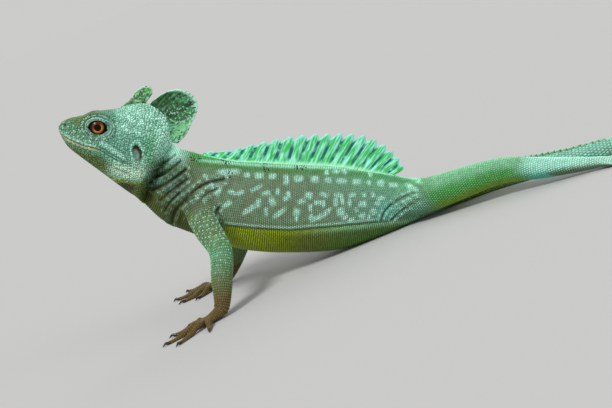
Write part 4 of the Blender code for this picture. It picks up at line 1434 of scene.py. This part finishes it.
        # Painted shade at the root of the arm, where it meets the body.
        self.add("dark", fore * (1 - ease(self.along_fore, 0.9, 1.5)) * 0.3)
        self.add("moss", fore * (1 - ease(z, 22, 34)) * 0.55)
        self.add("olive", self.low_fore * 0.9)
        self.add("olive", self.hands * 0.95)
        thigh = self.hind * (1 - self.low_hind)
        self.add("green", thigh * 0.85)
        # Painted highlight: the thigh is paler where it faces up.
        self.add("mint", thigh * ease(rising, 0.0, 0.9) * 0.35)
        self.add("belly", thigh * ease(-rising, 0.1, 0.8) * 0.6)
        self.add("cyan", self.low_hind)
        # Painted highlight: the shank is paler where it faces up.
        self.add("mint", self.low_hind * ease(rising, -0.5, 0.3) * 0.72)
        self.add("olive", self.feet * 0.7)

    def mark_tail(self):
        """A tail that turns from green through blue-green to olive, with faint dark bands."""
        tail = self.tail
        path = np.array(tail_path())
        distance = np.interp(self.x, path[:, 0], [row[0] for row in TAIL_STATIONS])
        self.add("green", tail * (1 - ease(distance, 10, 60)) * 0.7)
        self.add("cyan", tail * ease(distance, 10, 60) * 0.75)
        self.add("mint", tail * ease(distance, 25, 60) * (1 - ease(distance, 120, 180)) * 0.4)
        bands = ease(np.sin(distance * 2 * math.pi / TAIL_BAND), 0.15, 0.8)
        self.add("moss", tail * bands * ease(distance, 70, 150) * 0.85)
        self.add("dark", tail * bands * ease(distance, 160, 300) * 0.35)
        self.add("olive", tail * ease(distance, 180, 400) * 0.45)
        self.add("belly", tail * ease(-self.rising, 0.3, 0.8) * 0.6)

    def mark_flecks(self):
        """Clusters of black flecks on back and shoulder."""
        x, z = self.x, self.z
        jitter = np.sin(x * 7.1 + z * 3.7) * np.sin(z * 8.3 - x * 2.9)
        for spot_x, spot_z in FLECKS:
            gap = np.hypot(x - spot_x, z - spot_z)
            self.add("dark", self.trunk * (gap < FLECK_RADIUS) * (jitter > 0.35))


def marks_at(points, normals):
    """How much of each marking lies at points of the skin, from 0 to 1."""
    markings = Markings(points, normals)
    markings.mark_back_and_belly()
    markings.mark_flanks()
    markings.mark_neck()
    markings.mark_face()
    markings.mark_throat_and_crown()
    markings.mark_eye_and_ear()
    markings.mark_legs()
    markings.mark_tail()
    markings.mark_flecks()
    return np.stack([np.clip(markings.amounts[name], 0, 1) for name in MARKS], -1)


# Kinds of scales: spacing along and round, height, how much of the length and the breadth the
# raised top takes, and length and breadth over the spacing.
SCALE_KINDS = {
    "grain": (1.0, 0.88, 0.3, 0.55, 0.7, 0.85, 1.02),
    "head": (1.05, 1.05, 0.3, 0.6, 0.6, 0.95, 0.98),
    "lid": (0.8, 0.8, 0.2, 0.6, 0.6, 1.0, 1.0),
    "lip": (2.2, 1.3, 0.34, 0.85, 0.7, 0.96, 1.35),
    "keel": (1.25, 1.15, 0.34, 0.7, 0.25, 1.05, 1.0),
    "tail": (1.8, 1.5, 0.34, 0.75, 0.2, 1.1, 1.0),
    "plate": (1.3, 1.3, 0.26, 0.7, 0.6, 0.95, 1.0),
}
# The parts of the coat, each with the kind of its scales.
COAT = (
    ("head", "head"),
    ("trunk", "grain"),
    ("tail", "tail"),
    ("limbs", "keel"),
    ("toes", "plate"),
    ("lids", "lid"),
    ("lips", "lip"),
)
KINDS = [kind for _, kind in COAT]
# Rings of scales on the lids: how many, the first one and the next ones in sizes of the eye
# opening, how far out from the eye's middle the first and the next ones are looked for, and
# how long a scale is over its spacing.
LID_RINGS = 5
LID_RING_SIZES = (1.09, 0.165)
LID_RINGS_OUT = (5.2, 0.6)
LID_SCALE_LONG = 0.82
# Rings down the sides of the lids: how many, and the tilt of the first and of the next ones.
LID_SIDE_RINGS = 7
LID_SIDE_TILTS = (58, 8)
# Rows of scales on the lips: how high over the mouth, and from where to where along the head.
LIP_ROWS = (1.05, -1.05)
LIP_SPAN = (1.3, 33.0)
# Rows in the map for the scales of the lids and of their sides, and the way between rings.
LID_MAP_ROWS = (0.9, 0.78)
LID_MAP_STEP = 0.012
# The least and the most that a scale's length may be over its spacing.
SCALE_STRETCH = (0.6, 1.6)
PATCH = 0.003
MOST_SCALES = 9900
LEAST_GAP = 0.6
TIP_BARE = 0.55


def scale_shape(flat_long, flat_wide):
    """One scale lying along x, raised towards its rear: its points and its triangles."""
    bm = bmesh.new()
    bmesh.ops.create_cone(bm, cap_ends=True, segments=6, radius1=0.5, radius2=0.5, depth=1.0)
    for vert in bm.verts:
        if vert.co.z > 0:
            vert.co = (vert.co.x * flat_long + 0.1, vert.co.y * flat_wide, 0.8 + 0.5 * vert.co.x)
        else:
            vert.co.z = -0.6
    bmesh.ops.recalc_face_normals(bm, faces=bm.faces)
    bmesh.ops.triangulate(bm, faces=bm.faces)
    points = np.array([vert.co.to_tuple() for vert in bm.verts])
    faces = np.array([[vert.index for vert in face.verts] for face in bm.faces])
    bm.free()
    return points, faces


class Scales:
    """Roots of scales, gathered region by region and then made into pieces."""

    def __init__(self, skin):
        self.tree = surface_of(skin)
        self.rows = []
        self.taken = None
        self.chance = np.random.default_rng(RANDOM_SEED)

    def lay(self, kind, places, ahead, size, patch, reach):
        """Sets scales down on the skin where it is near, and where nothing keeps them off."""
        for place, course, extent, spot in zip(places, ahead, size, patch):
            root, normal, _, _ = self.tree.find_nearest(place, reach)
            if root is None or normal.z < -0.75 and root.z < 0.4 or self.is_taken(root):
                continue
            self.rows.append((*root, *normal, *course, *extent, *spot, KINDS.index(kind)))

    def is_taken(self, root):
        """Whether an earlier scale lies nearer than about half its breadth."""
        if self.taken is None:
            return False
        _, index, gap = self.taken.find(root)
        breadth = self.rows[index][10]
        return gap < max(LEAST_GAP, breadth * 0.55)

    def mark_taken(self):
        """Keeps later scales off those that are down by now."""
        self.taken = KDTree(len(self.rows))
        for index, row in enumerate(self.rows):
            self.taken.insert(row[:3], index)
        self.taken.balance()


def ring_scales(scales, kind, rings, tile, reach, loose=0.0):
    """Rows of scales on rings of points, each row set off by half a scale from the last."""
    spacing_along, spacing_round, height, *_, long, wide = SCALE_KINDS[kind]
    rings = np.asarray(rings)
    for index, (ring, following) in enumerate(zip(rings, rings[1:])):
        ring, following = (np.vstack([one, one[:1]]) for one in (ring, following))
        steps = np.linalg.norm(np.diff(ring, axis=0), axis=1)
        arc = np.concatenate([[0], np.cumsum(steps)])
        count = max(6, round(arc[-1] / spacing_round))
        shift = scales.chance.uniform(-loose, loose, (3, count))
        turn = (np.arange(count) + 0.5 * (index % 2) + shift[0]) % count / count
        spot = np.interp(turn * arc[-1], arc, np.arange(len(ring)))
        low = np.minimum(spot.astype(int), len(ring) - 2)
        part = (spot - low)[:, None]
        places = ring[low] * (1 - part) + ring[low + 1] * part
        course = following[low] * (1 - part) + following[low + 1] * part - places
        length = np.linalg.norm(course, axis=1)
        growth = 1 + 0.6 * shift[2]
        shortest, longest = SCALE_STRETCH
        length = np.clip(length, shortest * spacing_along, longest * spacing_along) * growth
        breadth = np.full(count, arc[-1] / count) * growth
        places = places + course * shift[1][:, None]
        size = np.stack([length * long, breadth * wide, np.full(count, height)], -1)
        share = np.stack([np.full(count, index / len(rings)), turn], -1)
        patch = np.array(tile[:2]) + share * np.array(tile[2:])
        scales.lay(kind, places, course, size, patch, reach)


def eye_ring(half, ring, hand, out):
    """Places on an oval round an eye, and how far round it each one lies."""
    count = round(math.pi * half.sum() / SCALE_KINDS["lid"][0])
    turn = 2 * math.pi * (np.arange(count) + 0.5 * (ring % 2)) / count
    along, high = EYE[0] + half[0] * np.cos(turn), EYE[2] + half[1] * np.sin(turn)
    return head_point(along, hand * out, high), turn


def lid_patch(turn, hand, row):
    """Places in the map for a ring of scales round an eye."""
    across = 0.1 + 0.2 * (hand > 0) + turn * LID_MAP_STEP
    return np.stack([across, np.full(len(turn), row)], -1)


def lid_scales(scales, hand):
    """Rings of small scales on the lids."""
    spacing, _, height = SCALE_KINDS["lid"][:3]
    first, step = LID_RING_SIZES
    for ring in range(LID_RINGS):
        half = np.array(EYE_OPENING) / 2 * (first + ring * step)
        out = EYE[1] + LID_RINGS_OUT[0] - LID_RINGS_OUT[1] * ring
        place, turn = eye_ring(half, ring, hand, out)
        course = head_point(np.cos(turn), 0, np.sin(turn)) - head_point(0, 0, 0)
        size = np.tile([spacing * LID_SCALE_LONG, spacing, height], (len(turn), 1))
        patch = lid_patch(turn, hand, LID_MAP_ROWS[0] + ring * LID_MAP_STEP)
        scales.lay("lid", place, course, size, patch, 1.8)


def lid_side_scales(scales, hand):
    """Small scales down the steep sides of the lids, where the rings leave room."""
    spacing, _, height = SCALE_KINDS["lid"][:3]
    first, step = LID_SIDE_TILTS
    for ring in range(LID_SIDE_RINGS):
        tilt = math.radians(first + step * ring)
        half = np.array((LID_RADII[0], LID_RADII[2])) * math.sin(tilt)
        out = EYE[1] + LID_RADII[1] * math.cos(tilt)
        place, turn = eye_ring(half, ring, hand, out)
        course = np.tile(head_point(0, -hand, 0) - head_point(0, 0, 0), (len(turn), 1))
        size = np.tile([spacing, spacing, height], (len(turn), 1))
        patch = lid_patch(turn, hand, LID_MAP_ROWS[1] + ring * LID_MAP_STEP)
        scales.lay("lid", place, course, size, patch, 1.0)


def lip_scales(scales, hand):
    """A row of larger scales along each lip."""
    spacing, _, height, *_, long, wide = SCALE_KINDS["lip"]
    stations = np.array(HEAD_STATIONS)
    along = np.arange(*LIP_SPAN, spacing)
    out = np.interp(along, stations[:, 0], stations[:, 7])
    for row, lift in enumerate(LIP_ROWS):
        place = head_point(along, hand * out, level_of(MOUTH_LINE, along) + lift)
        course = np.gradient(place, axis=0)
        size = np.tile([spacing * long, wide, height], (len(along), 1))
        level = 0.1 + 0.1 * row + 0.4 * (hand > 0)
        patch = np.stack([0.5 + along / 100, np.full(len(along), level)], -1)
        scales.lay("lip", place, course, size, patch, 1.5)


def body_scales(scales):
    """Scales of lids and lips first, then those of head, trunk and tail round them."""
    for hand in (-1, 1):
        lid_scales(scales, hand)
        lip_scales(scales, hand)
    scales.mark_taken()
    for hand in (-1, 1):
        lid_side_scales(scales, hand)
    scales.mark_taken()
    rings, neck, tail = body_rings()
    # Each kind with its rings, how far it seeks the skin and how loosely it lies. The caps at
    # snout and tail's tip stay bare.
    stretches = (
        ("head", rings[len(CAP_SHARES) - 1 : neck + 1], 1.7, 0.3),
        ("grain", rings[neck : tail + 1], 1.8, 0.05),
        ("tail", rings[tail : -len(CAP_SHARES)], 0.8, 0.05),
    )
    for kind, stretch, reach, loose in stretches:
        even = spread_rings(stretch, SCALE_KINDS[kind][0])
        ring_scales(scales, kind, even, (0, 0, 1, 1), reach, loose)
    scales.mark_taken()


def limb_scales(scales):
    """Scales of the legs, then those of the toes."""
    for index, name in enumerate(LIMBS):
        line, sizes, _ = limb_lines(name)
        reader = functools.partial(smooth, line)
        spots = even_stations(reader, 0.3, len(line) - 1, SCALE_KINDS["keel"][0])
        tile = (0.5 * (index % 2), 0.5 * (index // 2), 0.48, 0.48)
        ring_scales(scales, "keel", tube_rings(line, sizes, spots, LIMB_SIDES), tile, 1.8)
    scales.mark_taken()
    for index, name in enumerate(LIMBS):
        for number, (points, radii, _) in enumerate(digit_lines(name)):
            reader = functools.partial(smooth, points)
            spots = even_stations(reader, 0.35, 3.1, SCALE_KINDS["plate"][0])
            tile = (0.2 * number, 0.25 * index, 0.18, 0.23)
            rings = tube_rings(points, radii[:, None], spots, TOE_SIDES)
            ring_scales(scales, "plate", rings, tile, 0.7)


def make_scales(skin):
    """All scales, as joined meshes with the skin's own markings."""
    scales = Scales(skin)
    body_scales(scales)
    limb_scales(scales)
    rows = np.array(scales.rows)
    rows = rows[keep_clear(rows)]
    chance = np.random.default_rng(RANDOM_SEED)
    made = []
    for number, (part, kind) in enumerate(COAT):
        chosen = rows[rows[:, -1] == number]
        shape = scale_shape(*SCALE_KINDS[kind][3:5])
        for first in range(0, len(chosen), MOST_SCALES):
            name = f"scales_{part}_{first // MOST_SCALES + 1}"
            made.append(joined(name, chosen[first : first + MOST_SCALES], shape, chance))
    return made


def keep_clear(rows):
    """False for scales that would cover an eye, a nostril, an ear or the mouth."""
    along, high = in_head(rows[:, :3])
    side = np.abs(rows[:, 1]) > 3.5
    eye = eye_reach(along, high) < 1.08
    ear = ear_reach(along, high) < 0.95
    nostril = np.hypot(along - NOSTRIL[0], high - NOSTRIL[2]) < NOSTRIL_RADIUS + 0.5
    mouth = (np.abs(mouth_gap(along, high)) < 0.3) & (along < MOUTH_LINE[-1][0])
    tip = rows[:, 0] < solid_box[0][0] / MM + TIP_BARE
    return ~(eye & side) & ~(ear & side) & ~nostril & ~mouth & ~tip


# How light scales are at the least, and by how much they differ.
SCALE_SHADES = (0.56, 0.33)


def joined(name, rows, shape, chance):
    """One mesh of many scales, each of one colour and with a small patch of the map."""
    points, faces = shape
    count, corners = len(rows), len(points)
    root, normal, ahead, extent, patch = (rows[:, at : at + 3] for at in (0, 3, 6, 9, 12))
    side = unit(np.cross(normal, ahead))
    ahead = np.cross(side, normal)
    axes = np.stack([ahead, side, normal], 1)
    local = points[None] * extent[:, None]
    spots = root[:, None] + np.einsum("nci,nij->ncj", local, axes)
    spots[..., 2] = np.maximum(spots[..., 2], FLOOR_CLEAR)
    mesh = bpy.data.meshes.new(name)
    mesh.vertices.add(count * corners)
    mesh.vertices.foreach_set("co", spots.astype(np.float32).ravel())
    links = (faces[None] + (np.arange(count) * corners)[:, None, None]).reshape(-1, 3)
    mesh.loops.add(links.size)
    mesh.loops.foreach_set("vertex_index", links.ravel().astype(np.int32))
    mesh.polygons.add(len(links))
    mesh.polygons.foreach_set("loop_start", np.arange(0, links.size, 3, dtype=np.int32))
    mesh.update(calc_edges=True)
    flat = patch[:, None, :2] + points[None, :, :2] * PATCH
    flat = flat.reshape(-1, 2)[links.ravel()].astype(np.float32)
    mesh.uv_layers.new(name="OFBake").data.foreach_set("uv", flat.ravel())
    marks = marks_at(root, normal)
    shade = SCALE_SHADES[0] + SCALE_SHADES[1] * chance.random(count)
    store_marks(mesh, np.repeat(marks, corners, axis=0), np.repeat(shade, corners))
    made = bpy.data.objects.new(name, mesh)
    bpy.context.scene.collection.objects.link(made)
    return made


def store_marks(mesh, marks, shade):
    """Keeps the markings of each point as two colours, and its shade."""
    for name, columns in (("marks_a", marks[:, :4]), ("marks_b", marks[:, 4:])):
        layer = mesh.attributes.new(name, "FLOAT_COLOR", "POINT")
        layer.data.foreach_set("color", np.ascontiguousarray(columns, np.float32).ravel())
    store_values(mesh, "shade", shade)


class Wire:
    """A node's output that can stand in sums."""

    def __init__(self, paint, socket):
        self.paint, self.socket = paint, socket

    def work(self, operation, first, second):
        return self.paint.node("ShaderNodeMath", {"operation": operation}, {0: first, 1: second})

    def __add__(self, other):
        return self.work("ADD", self, other)

    def __sub__(self, other):
        return self.work("SUBTRACT", self, other)

    def __mul__(self, other):
        return self.work("MULTIPLY", self, other)

    def __radd__(self, other):
        return self.work("ADD", other, self)

    def __rsub__(self, other):
        return self.work("SUBTRACT", other, self)

    def __rmul__(self, other):
        return self.work("MULTIPLY", other, self)

    def rise(self, start, end):
        """Softly from 0 at start to 1 at end."""
        settings = {"interpolation_type": "SMOOTHSTEP"}
        values = {0: self, 1: start, 2: end, 3: 0.0, 4: 1.0}
        return self.paint.node("ShaderNodeMapRange", settings, values)


class Paint:
    """A material whose nodes are made by their type, settings and inputs."""

    def __init__(self, name, **gloss):
        self.material = bpy.data.materials.new(name)
        self.material.use_nodes = True
        self.tree = self.material.node_tree
        self.shader = self.tree.nodes["Principled BSDF"]
        for key, value in gloss.items():
            socket = key.replace("_", " ").title().replace("Ior", "IOR")
            self.shader.inputs[socket].default_value = value

    def node(self, kind, settings=None, values=None, output=0):
        made = self.tree.nodes.new(kind)
        for key, value in (settings or {}).items():
            setattr(made, key, value)
        for key, value in (values or {}).items():
            self.fill(made.inputs[key], value)
        return Wire(self, made.outputs[output])

    def fill(self, socket, value):
        if isinstance(value, Wire):
            self.tree.links.new(value.socket, socket)
        else:
            socket.default_value = value

    def read(self, name, output="Fac"):
        return self.node("ShaderNodeAttribute", {"attribute_name": name}, output=output)

    def split(self, colour):
        """The three parts of a colour."""
        first = self.node("ShaderNodeSeparateColor", None, {0: colour})
        return [Wire(self, output) for output in first.socket.node.outputs]

    def mix(self, mask, first, second, blend="MIX"):
        settings = {"data_type": "RGBA", "blend_type": blend}
        return self.node("ShaderNodeMix", settings, {0: mask, 6: first, 7: second}, output=2)

    def noise(self, scale, detail=2.0, place=None):
        place = place or self.node("ShaderNodeTexCoord", output="Object")
        values = {"Vector": place, "Scale": scale, "Detail": detail}
        return self.node("ShaderNodeTexNoise", None, values)

    def point(self, x, y, z=0.0):
        return self.node("ShaderNodeCombineXYZ", None, {0: x, 1: y, 2: z})

    def bump(self, height, strength, distance):
        values = {"Height": height, "Strength": strength, "Distance": distance}
        self.fill(self.shader.inputs["Normal"], self.node("ShaderNodeBump", None, values))

    def colour(self, value):
        self.fill(self.shader.inputs["Base Color"], value)


def tone(red, green, blue):
    """A colour given in steps of 255, as light."""
    steps = [value / 255 for value in (red, green, blue)]
    light = [step / 12.92 if step < 0.04 else ((step + 0.055) / 1.055) ** 2.4 for step in steps]
    return (*light, 1)


# The dark tone makes black flecks and tail bands, and also painted shade in creases, furrows,
# hollows and under the body. The mint tone makes pale spots and scales, and also painted highlight
# on fold ridges and on the upper sides of the hind legs.
SKIN_TONES = {
    "cyan": tone(96, 188, 166),
    "moss": tone(100, 134, 70),
    "olive": tone(104, 82, 38),
    "green": tone(78, 176, 88),
    "belly": tone(150, 170, 12),
    "mint": tone(190, 250, 228),
    "cream": tone(214, 200, 150),
    "dark": tone(20, 32, 14),
}
FLANK_TONES = (tone(98, 132, 90), tone(118, 126, 88))


def skin_paint():
    """The paint that skin and scales share: every marking mixed over the flank's grey green."""
    paint = Paint("basilisk skin", roughness=0.55, specular_ior_level=0.32)
    masks = {}
    for name, keys in (("marks_a", MARKS[:4]), ("marks_b", MARKS[4:])):
        parts = paint.split(paint.read(name, "Color")) + [paint.read(name, "Alpha")]
        masks.update(zip(keys, parts))
    colour = paint.mix(paint.noise(140.0), *FLANK_TONES)
    for name, shade in SKIN_TONES.items():
        colour = paint.mix(masks[name], colour, shade)
    mottle = paint.noise(420.0, 3.0).rise(0.3, 0.7)
    level = 0.38 + paint.read("shade").rise(0.0, 1.0) * 0.72 + mottle * 0.14
    grey = paint.point(level, level, level)
    paint.colour(paint.mix(1.0, colour, grey, "MULTIPLY"))
    paint.bump(paint.noise(1800.0), 0.25, 0.0001)
    return paint.material


def crest_paint(name, rays, tones, speckle, pale_end, mottled):
    """Thin crest skin: streaks along its rays, painted shade between them and in its cup, a pale
    edge and a pale foot, dark specks.
    """
    paint = Paint(name, roughness=0.45, specular_ior_level=0.4)
    across, up = paint.read("across"), paint.read("up")
    web, streak, furrow, rim, foot = (tone(*one) for one in tones)
    turn = (across * rays - 0.5) * 2 * math.pi
    wave = paint.node("ShaderNodeMath", {"operation": "COSINE"}, {0: turn})
    streaks = paint.noise(1.0, 3.0, paint.point(across * rays * 5.0, up * 2.2))
    blotches = paint.noise(1.0, 2.0, paint.point(across * rays * 1.3, up * 3.0, 5.0))
    colour = paint.mix(streaks.rise(0.42, 0.62), web, streak)
    # Painted shade: the furrow tone darkens the grooves between the rays.
    groove_shade = (0.0 - wave).rise(0.3, 0.9) * blotches.rise(0.25, 0.55)
    colour = paint.mix(groove_shade * up.rise(0.05, 0.3), colour, furrow)
    colour = paint.mix(up.rise(0.86, 0.97) * streaks.rise(0.3, 0.5), colour, rim)
    colour = paint.mix((1.0 - up.rise(0.03, 0.17)) * 0.85, colour, foot)
    # Painted shadow: the furrow tone darkens the low front of the crest's cup near its foot, as
    # much as the crest is mottled.
    hollow = (1.0 - up.rise(0.25, 0.7)) * (1.0 - across.rise(0.45, 0.7)) * mottled
    colour = paint.mix(hollow, colour, furrow)
    spots = paint.noise(850.0, 2.0).rise(0.52, 0.6) * across.rise(0.2, 0.6) * mottled
    colour = paint.mix(spots * (1.0 - up.rise(0.85, 0.95)), colour, rim)
    shades = paint.noise(620.0, 2.0).rise(0.52, 0.6) * mottled
    colour = paint.mix(shades * (1.0 - up.rise(0.9, 1.0)), colour, furrow)
    end = across.rise(pale_end, pale_end + 0.2) * blotches.rise(0.3, 0.55)
    colour = paint.mix(end * (1.0 - up.rise(0.8, 1.0)) * 0.85, colour, foot)
    specks = paint.noise(950.0, 2.0).rise(0.58, 0.64) * paint.noise(110.0).rise(*speckle)
    paint.colour(paint.mix(specks, colour, tone(10, 24, 12)))
    paint.bump(paint.noise(1500.0), 0.35, 0.00015)
    return paint.material


def eye_paint():
    """Black pupil, an iris gold below and behind and red brown above, painted lid shade outside
    it.
    """
    gloss = {"specular_ior_level": 0.06, "coat_weight": 0.2, "coat_roughness": 0.03}
    paint = Paint("eye", roughness=0.25, **gloss)
    ring, turn = paint.read("ring"), paint.read("turn")
    rays = paint.noise(1.0, 3.0, paint.point(turn * 7.0, ring * 0.8))
    gold = paint.mix(ring.rise(PUPIL_RADIUS, IRIS_RADIUS), tone(236, 160, 48), tone(150, 70, 18))
    iris = paint.mix(paint.read("low").rise(-0.5, 0.5), tone(92, 34, 12), gold)
    iris = paint.mix(rays.rise(0.4, 0.7) * 0.6, iris, tone(60, 22, 8))
    # Painted shade: beyond the iris the eyeball is darkened as if shaded by the lids.
    rim = ring.rise(IRIS_RADIUS - 0.2, IRIS_RADIUS + 0.2)
    colour = paint.mix(rim, iris, tone(26, 20, 12))
    pupil = 1.0 - ring.rise(PUPIL_RADIUS - 0.1, PUPIL_RADIUS + 0.1)
    paint.colour(paint.mix(pupil, colour, tone(2, 2, 2)))
    return paint.material


def claw_paint():
    """Dark horn with paler clouds."""
    paint = Paint("claw horn", roughness=0.3)
    paint.colour(paint.mix(paint.noise(700.0), tone(28, 22, 14), tone(58, 44, 28)))
    return paint.material


def make_camera():
    """The camera at the photograph's angle, rolled so that the animal lies as it does there."""
    lens = bpy.data.cameras.new("camera")
    lens.lens = CAMERA_LENS
    lens.sensor_width = CAMERA_SENSOR
    made = bpy.data.objects.new("camera", lens)
    bpy.context.scene.collection.objects.link(made)
    view = Vector((0, math.cos(CAMERA_RISE), -math.sin(CAMERA_RISE)))
    right = view.cross(Vector((0, 0, 1))).normalized()
    up = right.cross(view).normalized()
    turned_right = right * math.cos(CAMERA_ROLL) - up * math.sin(CAMERA_ROLL)
    turned_up = right * math.sin(CAMERA_ROLL) + up * math.cos(CAMERA_ROLL)
    matrix = Matrix((turned_right, turned_up, -view)).transposed().to_4x4()
    matrix.translation = Vector(CAMERA_AIM) - view * CAMERA_AWAY
    made.matrix_world = matrix
    bpy.context.scene.camera = made


# Lamps: the way each shines from, its strength and its breadth in degrees.
LAMPS = (
    ("key", (-0.45, -0.75, 1.2), 2.3, 18),
    ("fill", (0.9, -0.5, 0.5), 0.45, 40),
    ("back", (0.2, 0.9, 0.7), 0.5, 40),
)
FLOOR_HALF = 12.0
FLOOR_TONE = (0.442, 0.442, 0.437, 1)
SURROUND_TONE = (1.0, 1.0, 0.99, 1)
SURROUND = 0.6


def make_stage():
    """A pale floor, soft studio lights and a pale surround."""
    bm = bmesh.new()
    bmesh.ops.create_grid(bm, x_segments=1, y_segments=1, size=FLOOR_HALF)
    floor = add("floor", bm)
    paint = bpy.data.materials.new("floor")
    paint.use_nodes = True
    shader = paint.node_tree.nodes["Principled BSDF"]
    shader.inputs["Base Color"].default_value = FLOOR_TONE
    shader.inputs["Roughness"].default_value = 1.0
    shader.inputs["Specular IOR Level"].default_value = 0.0
    floor.data.materials.append(paint)
    world = bpy.data.worlds.new("surround")
    bpy.context.scene.world = world
    world.use_nodes = True
    background = world.node_tree.nodes["Background"]
    background.inputs["Color"].default_value = SURROUND_TONE
    background.inputs["Strength"].default_value = SURROUND
    for name, place, strength, breadth in LAMPS:
        light = bpy.data.lights.new(name, "SUN")
        light.energy = strength
        light.angle = math.radians(breadth)
        lamp = bpy.data.objects.new(name, light)
        lamp.location = place
        lamp.rotation_euler = (-lamp.location).to_track_quat("-Z", "Y").to_euler()
        bpy.context.scene.collection.objects.link(lamp)


def finish_piece(made, nodes):
    """Turns a piece into metres, shades it smooth and ties it to the frame."""
    points = points_of(made.data) * MM
    low, high = np.array(solid_box)
    place_points(made.data, np.clip(points, low + np.array((WITHIN, WITHIN, 0)), high - WITHIN))
    made.data.shade_smooth()
    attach(made, "root")
    if nodes:
        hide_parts(*nodes)


FLESH = ["head", "lower_jaw", "neck", "torso"] + [f"tail_{number}" for number in range(1, 6)]
LIMB_PARTS = ("upper_arm", "forearm", "hand", "thigh", "shank", "foot")
FLESH += [f"{part}_{side}" for side in ("left", "right") for part in LIMB_PARTS]
# Crests: rays, then the tones of web, streak, furrow, rim and foot, where the noise makes dark
# specks, where along the crest its pale end begins, and how mottled it is. The furrow tone is
# painted shade between the rays and in the cup, and also the dark of the mottling; how mottled a
# crest is also sets how much painted shadow its cup gets.
CREST_LOOKS = {
    "dorsal_crest": (
        18,
        ((60, 186, 92), (150, 238, 212), (8, 92, 92), (136, 224, 204), (176, 240, 200)),
        (0.62, 0.7),
        2.0,
        0.0,
    ),
    "head_crest_rear": (
        6,
        ((34, 96, 34), (74, 150, 96), (18, 56, 18), (170, 226, 200), (120, 196, 140)),
        (0.4, 0.5),
        0.6,
        0.7,
    ),
    "head_crest_front": (
        3,
        ((52, 116, 46), (88, 156, 88), (24, 64, 22), (170, 220, 185), (120, 190, 150)),
        (0.3, 0.45),
        2.0,
        0.6,
    ),
    "tail_crest": (
        27,
        ((84, 140, 92), (110, 170, 130), (50, 90, 60), (140, 200, 170), (110, 170, 140)),
        (0.6, 0.7),
        2.0,
        0.0,
    ),
}

make_camera()
make_stage()
bpy.context.scene.view_settings.view_transform = "Standard"

skin = fused_skin()
sculpt(skin)
skin.data.materials.clear()
coat = make_scales(skin)
spots = points_of(skin.data)
store_marks(skin.data, marks_at(spots, normals_of(skin.data)), np.zeros(len(spots)))
scaled = skin_paint()
for piece in [skin] + coat:
    piece.data.materials.append(scaled)
    finish_piece(piece, FLESH if piece is skin else [])
for name, crest in make_crests().items():
    crest.data.materials.append(crest_paint(name.replace("_", " "), *CREST_LOOKS[name]))
    finish_piece(crest, [name])
iris = eye_paint()
for side, hand in (("left", -1), ("right", 1)):
    eye = make_eye("eyeball_" + side, hand)
    eye.data.materials.append(iris)
    finish_piece(eye, ["eye_" + side])
horn = claw_paint()
for name in LIMBS:
    claws = make_claws(name)
    claws.data.materials.append(horn)
    finish_piece(claws, [])
